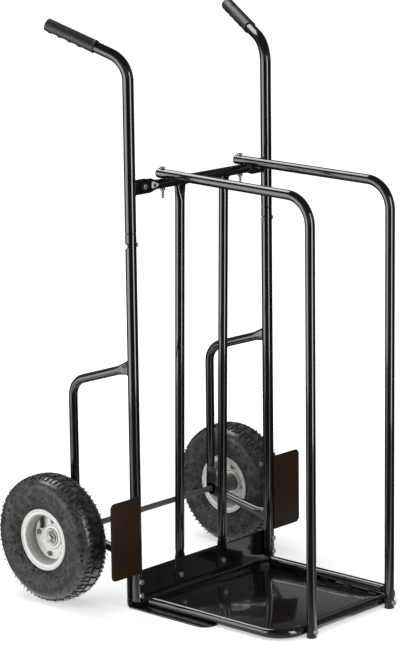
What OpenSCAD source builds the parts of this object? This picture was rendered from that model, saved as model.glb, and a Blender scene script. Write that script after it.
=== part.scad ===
// Fireside log cart: a two-wheeled steel tube cart that carries split logs
// between two hoops, with bent handles, a toe plate and pneumatic wheels.
// Millimetres. +Z is up, +Y points to the user, -Y to the load.
// "Left" is -X and "right" is +X, seen from the load side.

/* [Uprights] */
// Outside diameter of the uprights and of the handle tubes
upright_od = 22; // [20:0.5:25]
// Wall of every steel tube
tube_wall = 1.5; // [1.2:0.1:2]
// Distance between the two uprights, centre to centre
upright_spacing = 400; // [370:5:440]
// Height of the uprights' lower ends above the floor
upright_foot_z = 14; // [12:1:18]
// Height of the joint between upright and handle tube
joint_z = 756; // [700:2:790]

/* [Handles] */
// Height at which a handle's two centre lines would cross
handle_elbow_z = 1088; // [1040:2:1140]
// Bend radius of the handles, to the centre line
handle_bend_r = 55; // [45:1:70]
// Angle of the handles outwards from straight back
handle_splay = 21; // [0:1:30]
// Angle of the handles above level
handle_rise = 22; // [10:1:35]
// Length from the elbow to the end of the steel tube
handle_reach = 178; // [160:1:200]
// Length of the shoulder that closes a handle tube down to its spigot
handle_shoulder = 4; // [3:0.5:8]
// Length of the swaged spigot that enters the upright
spigot_length = 62; // [50:1:80]
// Distance of the joint bolt below the joint
joint_bolt_drop = 24; // [18:1:34]
// Length of a hand grip
grip_length = 110; // [95:1:120]
// Outside diameter of a hand grip
grip_od = 25.5; // [25:0.5:28]
// Outside diameter of the collar at a grip's mouth
grip_collar_od = 29; // [28:0.5:32]
// Thickness of a grip's closed end
grip_end_t = 3; // [2:0.5:5]
// Length of the collar
grip_collar = 4; // [3:0.5:8]
// Number of finger ridges under a grip
finger_count = 4; // [2:1:4]
// Distance between the finger ridges
finger_pitch = 22; // [18:1:24]
// Height of a finger ridge
finger_height = 2.7; // [1:0.1:4]

/* [Crossbar] */
// Height of the crossbar's centre line
crossbar_z = 843.5; // [800:0.5:870]
// Outside diameter of the crossbar
crossbar_od = 19; // [18:0.5:22]
// Length of each flattened end of the crossbar
crossbar_tongue = 26; // [24:1:32]
// Distance of the end bolt from the crossbar's end
crossbar_bolt_inset = 11; // [8:1:14]
// Space between an upright's surface and the crossbar's end
crossbar_end_gap = 12; // [8:1:16]
// Length of the taper from round to flat
taper_length = 20; // [16:1:26]
// Thickness of a tab welded to an upright
tab_t = 4; // [3:0.5:5]
// Height of a tab
tab_height = 30; // [26:1:36]
// Length of a tab behind the flattened end
tab_lap = 22; // [18:1:24]

/* [Hoops] */
// Outside diameter of the hoops
hoop_od = 19; // [17:0.5:20]
// Distance of the hoops' centre lines inside the uprights'
hoop_inset = 80.5; // [78:0.5:100]
// Distance of the hoops' front legs ahead of the uprights
hoop_depth = 385; // [340:5:420]
// Bend radius of the hoops, to the centre line
hoop_bend_r = 55; // [45:1:70]
// Fall of a hoop's top towards the front, in degrees
hoop_fall = 1.5; // [0:0.1:2]
// Turn of a hoop's top towards the middle of the cart, in degrees
hoop_toe_in = 0.9; // [0:0.1:1.5]
// Length of a hoop behind the crossbar's centre line
hoop_overhang = 9.5; // [9:0.5:24]
// Length of a hoop bolt's shank
hoop_bolt_length = 58; // [54:1:70]
// Thickness of the plastic caps in the hoops' ends
cap_t = 3; // [2:0.5:4]

/* [Struts] */
// Outside diameter of the struts behind the load
strut_od = 19; // [17:0.5:20]
// Distance between the two struts, centre to centre
strut_spacing = 128; // [90:2:140]
// Height of the struts' lower bolts
strut_bolt_z = 34; // [32:1:38]
// Length of a strut below its lower bolt
strut_foot = 14; // [10:1:16]
// Length of the half-flattened mouth that is welded under the crossbar
strut_mouth = 34; // [26:1:40]
// Height of a strut's lower taper above the toe plate's flange
strut_clear = 2; // [1:0.5:6]

/* [Toe plate] */
// Width of the toe plate outboard of each upright's centre line
toe_overhang = 15; // [12:1:30]
// Distance of the toe plate's front edge ahead of the uprights
toe_front = 198; // [170:2:230]
// Thickness of the toe plate
toe_t = 3; // [2.5:0.5:4]
// Height of the toe plate's back flange
toe_flange = 68; // [66:1:80]
// Inside radius of the toe plate's bend
toe_bend_r = 6; // [4:0.5:7]
// Corner radius of the toe plate
toe_corner_r = 26; // [15:1:40]
// Height of the lower bolt in an upright's foot
foot_bolt_z = 26; // [24:1:28]
// Distance between the two bolts in an upright's foot
foot_bolt_pitch = 28; // [24:1:30]

/* [Base] */
// Outside diameter of the base rail
rail_od = 19; // [17:0.5:20]
// Distance of the rail's side legs inside the uprights' centre lines
rail_inset = 19; // [17:1:30]
// Distance of the rail's rear ends ahead of the uprights
rail_start = 22; // [18:1:40]
// Bend radius of the base rail, to the centre line
rail_bend_r = 50; // [40:1:60]
// Thickness of the floor sheet
floor_t = 1.5; // [1:0.1:2]

/* [Wheel brackets] */
// Distance of the axle behind the uprights
axle_y = 165; // [160:1:190]
// Diameter of the axle
axle_d = 12; // [11:0.5:13]
// Distance of the brackets outboard of the uprights' centre lines
bracket_offset = 3; // [0:0.5:4]
// Outside diameter of the bracket tubes
bracket_od = 18; // [16:0.5:19]
// Height at which a wheel strut meets its upright
wheel_strut_z = 491; // [450:1:530]
// Slope of a wheel strut's upper run, in degrees
wheel_strut_slope = 17.5; // [5:0.5:25]
// Bend radius of a wheel strut, to the centre line
wheel_strut_bend_r = 42; // [36:1:50]
// Length of a wheel strut's flat above the axle
wheel_strut_eye = 34; // [28:1:40]
// Height at which a lower brace meets its upright
brace_z = 99; // [94:1:110]
// Length of a lower brace's flat ahead of the axle
brace_eye = 24; // [20:1:30]
// Length of the half-flattened mouth that is welded to an upright
mouth_length = 32; // [26:1:38]
// Width of a wheel guard
guard_width = 80; // [60:1:82]
// Height of a wheel guard
guard_height = 158; // [120:1:180]
// Height of a wheel guard's lower edge
guard_z = 73; // [70:1:80]
// Thickness of a wheel guard
guard_t = 2.5; // [2:0.5:3]
// Radius of a wheel guard's outer corners
guard_corner_r = 11; // [5:1:16]
// Distance of a guard's inner edge outboard of the upright's centre line
guard_inset = 3; // [1:0.5:6]

/* [Wheels] */
// Diameter of the tyre
tyre_d = 260; // [250:1:270]
// Width of the tyre
tyre_width = 82; // [76:1:86]
// Wall of the tyre
tyre_wall = 4.5; // [4:0.5:5.5]
// Depth of the tread's grooves
tread_depth = 2; // [1:0.1:2.5]
// Width of the tread's grooves and of the gaps between lugs
tread_gap = 4; // [2:0.5:5]
// Distance of the crown grooves from the tyre's centre plane
tread_groove_z = 11; // [8:1:14]
// Number of lugs round each shoulder of the tyre
lug_count = 36; // [24:1:44]
// Distance of a wheel's centre plane outboard of the upright's centre line
wheel_offset = 70; // [62:1:80]
// Diameter of the rim's flange
rim_flange_d = 127; // [122:1:132]
// Diameter of the rim's bead seat
bead_seat_d = 101.6; // [98:0.2:104]
// Width between the rim's flanges
rim_width = 48; // [44:0.5:50]
// Thickness of the pressed rim halves
rim_t = 1.8; // [1.2:0.1:2.2]
// Depth of the rim's well below its bead seats
rim_well = 3.3; // [2:0.1:5]
// Width of each half of the well
rim_well_w = 11; // [10.5:0.5:13]
// Radius of the roll round the rim's edge
rim_roll = 1.7; // [1.2:0.1:2.2]
// Outside diameter of the hub tube
hub_od = 35; // [34:0.5:38]
// Length of the hub proud of the rim's disc on the outboard side
hub_proud = 2.2; // [1.5:0.1:4]
// Circle of the bolts that join the rim halves
rim_bolt_pcd = 70; // [56:1:72]
// Number of rim bolts
rim_bolt_count = 4; // [3:1:6]
// Turn of the first rim bolt round the wheel
rim_bolt_turn = 9; // [0:1:30]
// Sideways offset of the valve stem from the wheel's centre
valve_offset = 23; // [0:1:24]
// Distance of the valve stem outboard of the wheel's centre plane
valve_z = 6.4; // [6.2:0.1:6.8]
// Diameter of the valve stem
valve_d = 8; // [6:0.5:8]
// Length of the valve stem inside the rim, with its cap
valve_length = 26; // [20:1:28]
// Length of the valve cap
valve_cap_length = 9; // [7:0.5:11]
// Wall of the inner tube
inner_tube_wall = 2; // [1:0.1:3]

/* [Bearings] */
// Outside diameter of a wheel bearing
bearing_od = 32; // [30:0.5:32]
// Width of a wheel bearing
bearing_width = 10; // [8:0.5:12]
// Diameter of a bearing ball
ball_d = 4.6; // [4:0.1:4.8]
// Number of balls in a bearing
ball_count = 9; // [7:1:10]
// Thickness of a race under its groove's rim
race_t = 3.5; // [3:0.1:3.8]
// Thickness of a bearing's shields
shield_t = 0.8; // [0.5:0.1:1]
// Distance of the shields inside a bearing's faces
shield_inset = 0.3; // [0.2:0.1:0.5]

/* [Fasteners] */
// Thread diameter of the frame's bolts
bolt_d = 6; // [5:0.5:6.5]
// Width across the flats of heads and nuts
bolt_af = 10; // [9:0.5:11]
// Height of a bolt head
head_h = 4; // [3:0.5:5]
// Height of a nut
nut_h = 5; // [4:0.5:6]
// Length of thread past a nut
thread_past = 3; // [1:0.5:5]
// Thickness of the axle washers
washer_t = 2; // [1.5:0.1:2.2]
// Outside diameter of the axle washers
washer_od = 24; // [22:0.5:25]
// Length of the axle past a cotter pin
axle_past = 2.5; // [2:0.5:5]
// Wire diameter of the cotter pins
cotter_d = 2.5; // [2:0.1:3]
// Length of a cotter pin's bent legs
cotter_leg = 9; // [6:1:12]
// Angle of a cotter pin's bent legs from straight
cotter_bend = 62; // [30:1:75]

/* [Fits] */
// Extra diameter of a bolt or axle hole
hole_play = 0.4; // [0.2:0.05:0.6]
// Gap between pieces that lie against each other
seat_gap = 0.05; // [0.02:0.01:0.1]
// Gap between the inner tube and the tyre
soft_gap = 0.3; // [0.2:0.1:0.5]
// Radial clearance of the axle in the bearings
axle_fit = 0.03; // [0.02:0.01:0.08]
// Gap at each end of a turning hub
end_float = 0.3; // [0.2:0.05:0.5]
// Extra diameter of the uprights over the handle spigots
spigot_play = 0.2; // [0.1:0.05:0.4]

/* [Hidden] */
$fn = 64;
// Facets of the round ends that a flattened taper is stretched between
hull_fn = 32;
// A length that carries a cut past a surface
past = 1;
// How far a leg or taper runs into its neighbour, and how much smaller it is there
lap = 0.5;
leg_slack = 0.2;
taper_slack = 0.8;

// Colours
black_coat = [0.06, 0.06, 0.065];
zinc = [0.78, 0.79, 0.80];
galvanised = [0.55, 0.57, 0.59];
rubber_black = [0.10, 0.10, 0.10];
plastic_black = [0.05, 0.05, 0.05];

// Frame
upright_x = upright_spacing / 2;
upright_id = upright_od - 2 * tube_wall;
// Depth to which welded pieces reach into the space of an upright before they are cut
weld_reach = 4;
// Width and height of a welded mouth as shares of its tube's diameter
mouth_width = 0.64;
mouth_height = 1.4;
// Chamfer on each side of the joint between upright and handle tube
groove = 1;
handle_turn = 90 - handle_rise;
handle_tangent = handle_bend_r * tan(handle_turn / 2);
spigot_od = upright_id - spigot_play;
crossbar_y = -tab_t - seat_gap - tube_wall;
crossbar_end_x = upright_x - upright_od / 2 - crossbar_end_gap;
crossbar_bolt_x = crossbar_end_x - crossbar_bolt_inset;
crossbar_round_x = crossbar_end_x - crossbar_tongue - taper_length;
hoop_x = upright_x - hoop_inset;
hoop_turn = 90 - hoop_fall;
hoop_tangent = hoop_bend_r * tan(hoop_turn / 2);
// Height of a hoop's centre line above the crossbar's centre line
hoop_cross_z = crossbar_z + crossbar_od / 2 + hoop_od / 2 / cos(hoop_fall) + seat_gap;
// Distance from a hoop's front leg to the crossbar along the hoop, and where they cross
hoop_run = (hoop_depth + crossbar_y) / cos(hoop_toe_in);
hoop_cross_x = hoop_x - (hoop_depth + crossbar_y) * tan(hoop_toe_in);
hoop_elbow_z = hoop_cross_z - hoop_run * tan(hoop_fall);
rail_z = toe_t + rail_od / 2;
rail_x = upright_x - rail_inset;
toe_width = upright_spacing + 2 * toe_overhang;
rail_front = hoop_depth - hoop_od / 2 - rail_od / 2 - seat_gap;
// Half the width of the rail at the floor sheet's top
rail_chord = sqrt(pow(rail_od / 2, 2) - pow(rail_od / 2 - floor_t, 2)) + seat_gap;
flange_y = upright_od / 2 + seat_gap;
strut_x = strut_spacing / 2;
strut_foot_y = flange_y - seat_gap - tube_wall;
// Height of a strut's round part, and its lean from there up to the crossbar
strut_low_z = toe_flange + strut_clear + taper_length;
strut_rise = crossbar_z - strut_low_z;
strut_lean = atan((strut_foot_y - crossbar_y) / strut_rise);
// How far round the crossbar a strut's mouth is cut
strut_saddle = crossbar_od / 2 - sqrt(pow(crossbar_od, 2) - pow(strut_od * mouth_width, 2)) / 2;

// Wheels and brackets
wheel_x = upright_x + wheel_offset;
axle_z = tyre_d / 2;
bracket_x = upright_x + bracket_offset;
tongue_t = 2 * tube_wall;
tongue_offset = tube_wall + seat_gap;
wheel_strut_turn = 90 - wheel_strut_slope;
wheel_strut_tangent = wheel_strut_bend_r * tan(wheel_strut_turn / 2);
wheel_strut_run = axle_y / cos(wheel_strut_slope);
wheel_strut_elbow_z = wheel_strut_z - axle_y * tan(wheel_strut_slope);
brace_run = sqrt(pow(axle_y, 2) + pow(axle_z - brace_z, 2));
brace_angle = 90 + atan((axle_z - brace_z) / axle_y);
inner_washer_x = bracket_x + tongue_offset + tube_wall + seat_gap;
hub_inner_x = inner_washer_x + washer_t + end_float;
hub_outer_x = wheel_x + seat_gap / 2 + rim_t + hub_proud;
outer_washer_x = hub_outer_x + end_float;
cotter_x = outer_washer_x + washer_t + seat_gap + cotter_d / 2;
axle_end_x = cotter_x + cotter_d / 2 + axle_past;
axle_chamfer = 1;
hub_length = hub_outer_x - hub_inner_x;
// The hub's inboard end, measured outboard from the wheel's centre plane
hub_start = hub_inner_x - wheel_x;
ball_circle_d = (axle_d + bearing_od) / 2;
bearing_id = axle_d + 2 * axle_fit;
bearing_step = 2;
// The bead seat, the well and the disc of the rim
bead_seat_r = bead_seat_d / 2;
well_r = bead_seat_r - rim_well;
flange_r = rim_flange_d / 2;
rim_step = 3;
hub_hole_d = hub_od + 2 * seat_gap;
valve_reach = sqrt(pow(well_r, 2) - pow(valve_offset, 2));
valve_root = sqrt(pow(bead_seat_r, 2) - pow(valve_offset + valve_d / 2, 2)) - valve_reach;
valve_core_d = valve_d * 0.69;

// Section of the tyre: a flattened crown above its widest line, and a quarter
// ellipse down to the bead. Points are [radius, distance from the centre plane].
section_h = tyre_d / 2 - bead_seat_r;
widest_r = bead_seat_r + section_h * 0.556;
crown_h = tyre_d / 2 - widest_r;
flank_h = section_h * 0.48;
bead_top_r = bead_seat_r + section_h * 0.164;
bead_w = rim_width * 0.146;
crown_power = 0.82;
crown_step = 7.5;
flank_steps = 6;
lug_depth = section_h * 0.164;
lug_w = tyre_width * 0.22;
function crown_curve(w, h) =
    [for (a = [0 : crown_step : 90])
        [widest_r + h * pow(cos(a), crown_power), w * pow(sin(a), crown_power)]];
function flank_curve(w, h) =
    let (last = asin((widest_r - bead_top_r) / h))
    [for (i = [1 : flank_steps])
        [widest_r - h * sin(last * i / flank_steps), w * cos(last * i / flank_steps)]];
// One side of a section: crown, flank and foot at [foot_r, foot_w]
function side_curve(w, crown, flank, foot_r, foot_w) =
    concat(crown_curve(w, crown), flank_curve(w, flank), [[foot_r, foot_w]]);
function flipped(points) = [for (p = points) [p[0], -p[1]]];
function reversed(points) = [for (i = [len(points) - 1 : -1 : 0]) points[i]];
// Both sides of a section, from foot to foot over the crown
function both_curves(side) = concat(reversed(side), flipped(side));

// The whole cart is moved so that its bounding box is centred on Y
cart_front = hoop_depth + hoop_od / 2 + head_h + seat_gap;
cart_rear = axle_y + tyre_d / 2;
cart_shift = (cart_front - cart_rear) / 2;

// Width of a round tube once it is pressed flat
function flat_width(od) = PI * (od - tube_wall) / 2 + tube_wall;

// ---- shared shapes ----

module placed() {
    translate([0, cart_shift, 0]) children();
}

// Builds the right-hand piece for side 1 and its mirror image for side -1
module sided(side) {
    placed() mirror([side < 0 ? 1 : 0, 0, 0]) children();
}

module both_sides() {
    for (side = [-1, 1]) sided(side) children();
}

module ring(od, id) {
    difference() {
        circle(d = od);
        circle(d = id);
    }
}

// A straight tube along +Z
module tube(od, length) {
    linear_extrude(length) ring(od, od - 2 * tube_wall);
}

// A leg of a bent tube: each end that meets a bend runs a little way into the
// bend's wall, and the leg is thinner by a hair so that it stays inside it
module leg(od, length, before, after) {
    translate([0, 0, -before]) linear_extrude(length + before + after)
        ring(od - leg_slack, od - 2 * tube_wall + leg_slack);
}

// A bend that starts along +Z and turns towards +Y
module tube_bend(od, bend_r, angle) {
    translate([0, bend_r, 0]) rotate([90, 0, -90]) rotate_extrude(angle = angle)
        translate([bend_r, 0]) ring(od, od - 2 * tube_wall);
}

// A tube of straight legs with a bend after each leg but the last
module bent_tube(od, bend_r, legs, turns, i = 0) {
    leg(od, legs[i], i > 0 ? lap : 0, i < len(turns) ? lap : 0);
    if (i < len(turns)) translate([0, 0, legs[i]]) {
        tube_bend(od, bend_r, turns[i]);
        translate([0, bend_r * (1 - cos(turns[i])), bend_r * sin(turns[i])])
            rotate([-turns[i], 0, 0]) bent_tube(od, bend_r, legs, turns, i + 1);
    }
}

// The taper from a round tube at z = 0 to a flat at z = taper_length, thin along Y.
// Its ends run a little way into the tube and into the flat, and stay inside them.
module flat_taper(od, offset = 0) {
    w = flat_width(od) - leg_slack;
    t = tongue_t - leg_slack;
    hull() {
        translate([0, 0, -lap]) cylinder(d = od - taper_slack, h = lap, $fn = hull_fn);
        translate([-w / 2, offset - t / 2, taper_length]) cube([w, t, lap]);
    }
}

// The flat itself from z = 0, thin along Y, with a square end and one hole
module square_tongue(od, length, offset, hole_z, hole_d) {
    translate([0, offset + tube_wall, 0]) rotate([90, 0, 0]) linear_extrude(tongue_t) difference() {
        translate([-flat_width(od) / 2, 0]) square([flat_width(od), length]);
        translate([0, hole_z]) circle(d = hole_d);
    }
}

// A flat that ends in a half round centred on its hole, thin along Y
module eye_tongue(od, length, offset, hole_d) {
    translate([0, offset + tube_wall, 0]) rotate([90, 0, 0]) linear_extrude(tongue_t) difference() {
        union() {
            translate([-flat_width(od) / 2, 0]) square([flat_width(od), length]);
            translate([0, length]) circle(d = flat_width(od));
        }
        translate([0, length]) circle(d = hole_d);
    }
}

// A half-flattened mouth that is welded to a round tube, along +Z and wide along Y
module welded_mouth(od, length) {
    w = od * mouth_width;
    height = od * mouth_height;
    hull() {
        translate([0, 0, -lap]) cylinder(d = od - taper_slack, h = lap, $fn = hull_fn);
        translate([-w / 2, -height / 2, length - lap]) cube([w, height, lap]);
    }
}

// The space that an upright takes, for the pieces that are welded to it
module upright_space() {
    translate([upright_x, 0, 0]) cylinder(d = upright_od + 2 * seat_gap, h = handle_elbow_z);
}

// A bolt along +Z, with the underside of its head at z = 0
module bolt(length) {
    translate([0, 0, -head_h]) cylinder(d = bolt_af / cos(30), h = head_h, $fn = 6);
    cylinder(d = bolt_d, h = length);
}

// A nut along +Z, with its seat at z = 0
module nut() {
    linear_extrude(nut_h) difference() {
        circle(d = bolt_af / cos(30), $fn = 6);
        circle(d = bolt_d + seat_gap);
    }
}

module bolt_hole(length) {
    translate([0, 0, -past]) cylinder(d = bolt_d + hole_play, h = length + 2 * past);
}

// ---- uprights and handles ----

module joint_bolt_at() {
    translate([upright_x, 0, joint_z - joint_bolt_drop]) rotate([0, -90, 0])
        translate([0, 0, -upright_od / 2 - seat_gap]) children();
}

module upright() {
    difference() {
        translate([upright_x, 0, upright_foot_z]) tube(upright_od, joint_z - upright_foot_z);
        joint_bolt_at() bolt_hole(upright_od);
        for (i = [0, 1]) toe_bolt_at(i) bolt_hole(upright_od);
        // a chamfer at the joint makes half of its groove
        translate([upright_x, 0, joint_z - groove]) rotate_extrude()
            polygon([[upright_od / 2, 0], [upright_od, 0], [upright_od, 2 * groove],
                [upright_od / 2 - 2 * groove, 2 * groove]]);
    }
}

module left_upright() {
    color(black_coat) sided(-1) upright();
}

module right_upright() {
    color(black_coat) sided(1) upright();
}

module handle_tube() {
    straight = handle_elbow_z - joint_z - handle_tangent - handle_shoulder;
    bore_r = spigot_od / 2 - tube_wall;
    difference() {
        translate([upright_x, 0, joint_z]) {
            // swaged spigot, and the shoulder that closes the tube down to it
            rotate_extrude() polygon([
                [bore_r, -spigot_length], [spigot_od / 2, -spigot_length],
                [spigot_od / 2, seat_gap], [upright_od / 2 - groove, seat_gap],
                [upright_od / 2, seat_gap + groove], [upright_od / 2, handle_shoulder],
                [bore_r, handle_shoulder]]);
            rotate([0, 0, -handle_splay]) translate([0, 0, handle_shoulder - lap])
                bent_tube(upright_od, handle_bend_r,
                    [straight + lap, handle_reach - handle_tangent], [handle_turn]);
        }
        joint_bolt_at() bolt_hole(upright_od);
    }
}

module left_handle_tube() {
    color(black_coat) sided(-1) handle_tube();
}

module right_handle_tube() {
    color(black_coat) sided(1) handle_tube();
}

// At the end of the steel tube of a handle, with +Z pointing to the user
module handle_end_at() {
    translate([upright_x, 0, handle_elbow_z]) rotate([0, 0, -handle_splay]) rotate([-handle_turn, 0, 0])
        translate([0, 0, handle_reach]) children();
}

module grip() {
    mouth = grip_end_t + seat_gap - grip_length;
    edge = 2;
    finger_r = 9.5;
    handle_end_at() difference() {
        union() {
            translate([0, 0, mouth]) cylinder(d = grip_od, h = grip_length - edge);
            // rounded closed end
            translate([0, 0, mouth + grip_length - edge])
                cylinder(d1 = grip_od, d2 = grip_od - 2 * edge, h = edge);
            translate([0, 0, mouth]) cylinder(d = grip_collar_od, h = grip_collar);
            // finger ridges on the underside
            for (i = [0 : finger_count - 1])
                translate([0, grip_od / 2 + finger_height - finger_r, -finger_r - i * finger_pitch])
                    sphere(r = finger_r);
        }
        translate([0, 0, mouth - past])
            cylinder(d = upright_od + seat_gap, h = grip_length - grip_end_t + past);
    }
}

module left_grip() {
    color(plastic_black) sided(-1) grip();
}

module right_grip() {
    color(plastic_black) sided(1) grip();
}

module joint_bolts() {
    color(zinc) both_sides() joint_bolt_at() bolt(upright_od + 2 * seat_gap + nut_h + thread_past);
}

module joint_nuts() {
    color(zinc) both_sides() joint_bolt_at() translate([0, 0, upright_od + 2 * seat_gap]) nut();
}

// ---- crossbar ----

// At the crossbar's end bolt, with +Z pointing to the user from the front of the flat
module crossbar_bolt_at() {
    translate([crossbar_bolt_x, crossbar_y - tube_wall, crossbar_z]) rotate([-90, 0, 0]) children();
}

// At a hoop's bolt, with +Z pointing down from the top of the hoop
module hoop_bolt_at() {
    translate([hoop_cross_x, crossbar_y, hoop_cross_z + hoop_od / 2 / cos(hoop_fall) + seat_gap])
        rotate([180, 0, 0]) children();
}

// The space that the crossbar takes, for the struts that are welded to it
module crossbar_space() {
    translate([-crossbar_round_x, crossbar_y, crossbar_z]) rotate([0, 90, 0])
        cylinder(d = crossbar_od + 2 * seat_gap, h = 2 * crossbar_round_x);
}

module crossbar() {
    color(black_coat) placed() difference() {
        union() {
            translate([-crossbar_round_x, crossbar_y, crossbar_z]) rotate([0, 90, 0])
                tube(crossbar_od, 2 * crossbar_round_x);
            for (side = [0, 1]) mirror([side, 0, 0])
                translate([crossbar_round_x, crossbar_y, crossbar_z]) rotate([0, 90, 0]) {
                    flat_taper(crossbar_od);
                    translate([0, 0, taper_length]) square_tongue(crossbar_od, crossbar_tongue, 0,
                        crossbar_tongue - crossbar_bolt_inset, bolt_d + hole_play);
                }
        }
        for (side = [0, 1]) mirror([side, 0, 0]) hoop_bolt_at() bolt_hole(hoop_od + crossbar_od);
    }
}

module crossbar_tabs() {
    inner_x = crossbar_end_x - tab_lap;
    color(black_coat) both_sides() difference() {
        translate([inner_x, -tab_t, crossbar_z - tab_height / 2])
            cube([upright_x - inner_x, tab_t, tab_height]);
        upright_space();
        crossbar_bolt_at() bolt_hole(tongue_t + tab_t);
    }
}

module crossbar_bolts() {
    color(zinc) both_sides() crossbar_bolt_at() translate([0, 0, -seat_gap])
        bolt(tongue_t + tab_t + 3 * seat_gap + nut_h + thread_past);
}

module crossbar_nuts() {
    color(zinc) both_sides() crossbar_bolt_at() translate([0, 0, tongue_t + tab_t + 2 * seat_gap]) nut();
}

// ---- hoops ----

// At a foot bolt, with +Z pointing to the user from the front of the hoop's leg
module base_bolt_at() {
    translate([hoop_x, -hoop_depth - hoop_od / 2 - seat_gap, rail_z]) rotate([-90, 0, 0]) children();
}

module hoop() {
    foot_z = cap_t + seat_gap;
    front_leg = hoop_elbow_z - foot_z - hoop_tangent;
    arm = (hoop_run + hoop_overhang) / cos(hoop_fall) - hoop_tangent;
    difference() {
        translate([hoop_x, -hoop_depth, foot_z]) rotate([0, 0, hoop_toe_in])
            bent_tube(hoop_od, hoop_bend_r, [front_leg, arm], [hoop_turn]);
        hoop_bolt_at() bolt_hole(hoop_od + seat_gap * 2);
        base_bolt_at() bolt_hole(hoop_od);
    }
}

module left_hoop() {
    color(black_coat) sided(-1) hoop();
}

module right_hoop() {
    color(black_coat) sided(1) hoop();
}

// A plastic cap whose plug points along +Z from the tube's end at z = 0
module tube_cap(od, plug_length) {
    translate([0, 0, -cap_t]) cylinder(d = od, h = cap_t);
    cylinder(d = od - 2 * tube_wall - 2 * seat_gap, h = plug_length);
}

module hoop_end_plugs() {
    reach = hoop_run + hoop_overhang;
    color(plastic_black) both_sides()
        translate([hoop_x, -hoop_depth, hoop_elbow_z]) rotate([0, 0, hoop_toe_in])
            translate([0, reach, reach * tan(hoop_fall)]) rotate([-hoop_turn, 0, 0])
                translate([0, 0, seat_gap]) mirror([0, 0, 1])
                    tube_cap(hoop_od, hoop_overhang - bolt_d / 2 - past);
}

module hoop_foot_caps() {
    color(plastic_black) both_sides() translate([hoop_x, -hoop_depth, cap_t])
        tube_cap(hoop_od, rail_z - cap_t - bolt_d / 2 - past);
}

module hoop_bolts() {
    color(zinc) both_sides() hoop_bolt_at() bolt(hoop_bolt_length);
}

module hoop_nuts() {
    color(zinc) both_sides()
        translate([hoop_cross_x, crossbar_y, crossbar_z - crossbar_od / 2 - seat_gap])
        rotate([180, 0, 0]) nut();
}

// ---- struts behind the load ----

// At a strut's lower bolt, with +Z pointing to the user from the front of the flat
module strut_foot_bolt_at() {
    translate([strut_x, strut_foot_y - tube_wall - seat_gap, strut_bolt_z]) rotate([-90, 0, 0]) children();
}

module strut() {
    flat_z = toe_flange + strut_clear;
    round_length = strut_rise / cos(strut_lean) - crossbar_od / 2 + strut_saddle - strut_mouth;
    difference() {
        translate([strut_x, strut_foot_y, strut_low_z]) rotate([strut_lean, 0, 0]) {
            tube(strut_od, round_length);
            translate([0, 0, round_length]) rotate([0, 0, 90]) welded_mouth(strut_od, strut_mouth);
        }
        crossbar_space();
    }
    translate([strut_x, strut_foot_y, strut_low_z]) mirror([0, 0, 1]) {
        flat_taper(strut_od);
        translate([0, 0, taper_length]) square_tongue(strut_od, flat_z - strut_bolt_z + strut_foot, 0,
            flat_z - strut_bolt_z, bolt_d + hole_play);
    }
}

module left_strut() {
    color(black_coat) sided(-1) strut();
}

module right_strut() {
    color(black_coat) sided(1) strut();
}

module strut_foot_bolts() {
    color(zinc) both_sides() strut_foot_bolt_at()
        bolt(tongue_t + toe_t + 3 * seat_gap + nut_h + thread_past);
}

module strut_foot_nuts() {
    color(zinc) both_sides() strut_foot_bolt_at()
        translate([0, 0, tongue_t + toe_t + 3 * seat_gap]) nut();
}

// ---- toe plate and base ----

// At bolt i of an upright's foot, with +Z pointing to the user from the tube's front
module toe_bolt_at(i) {
    translate([upright_x, -upright_od / 2 - seat_gap, foot_bolt_z + i * foot_bolt_pitch])
        rotate([-90, 0, 0]) children();
}

// A rectangle from y = 0 to y = depth whose corners at y = 0 are round
module front_rounded(width, depth, corner_r) {
    translate([-width / 2, corner_r]) square([width, depth - corner_r]);
    translate([-width / 2 + corner_r, 0]) square([width - 2 * corner_r, corner_r]);
    for (x = [-1, 1]) translate([x * (width / 2 - corner_r), corner_r]) circle(r = corner_r);
}

module toe_plate() {
    bend_out = toe_bend_r + toe_t;
    bend_y = flange_y - toe_bend_r;
    color(black_coat) placed() difference() {
        union() {
            translate([0, -toe_front, 0]) linear_extrude(toe_t)
                front_rounded(toe_width, toe_front + bend_y, toe_corner_r);
            translate([-toe_width / 2, bend_y, bend_out]) rotate([0, 90, 0]) rotate_extrude(angle = 90)
                translate([toe_bend_r, 0]) square([toe_t, toe_width]);
            translate([-toe_width / 2, flange_y, bend_out]) cube([toe_width, toe_t, toe_flange - bend_out]);
        }
        for (side = [0, 1]) mirror([side, 0, 0]) {
            for (i = [0, 1]) toe_bolt_at(i) bolt_hole(upright_od + toe_t);
            strut_foot_bolt_at() bolt_hole(tongue_t + toe_t);
        }
    }
}

module toe_plate_bolts() {
    color(zinc) both_sides() for (i = [0, 1])
        toe_bolt_at(i) bolt(upright_od + toe_t + 3 * seat_gap + nut_h + thread_past);
}

module toe_plate_nuts() {
    color(zinc) both_sides() for (i = [0, 1])
        toe_bolt_at(i) translate([0, 0, upright_od + toe_t + 3 * seat_gap]) nut();
}

module base_rail() {
    side_leg = rail_front - rail_start - rail_bend_r;
    front_leg = 2 * (rail_x - rail_bend_r);
    color(black_coat) placed() difference() {
        translate([rail_x, -rail_start, rail_z]) rotate([90, -90, 0])
            bent_tube(rail_od, rail_bend_r, [side_leg, front_leg, side_leg], [90, 90]);
        for (side = [0, 1]) mirror([side, 0, 0]) base_bolt_at() bolt_hole(hoop_od + rail_od + seat_gap);
    }
}

module base_floor() {
    color(black_coat) placed() translate([0, -rail_front + rail_chord, toe_t + seat_gap])
        linear_extrude(floor_t - seat_gap)
            front_rounded(2 * (rail_x - rail_chord), rail_front - rail_chord - rail_start,
                rail_bend_r - rail_chord);
}

module base_bolts() {
    color(zinc) both_sides() base_bolt_at()
        bolt(hoop_od + rail_od + 3 * seat_gap + nut_h + thread_past);
}

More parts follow.
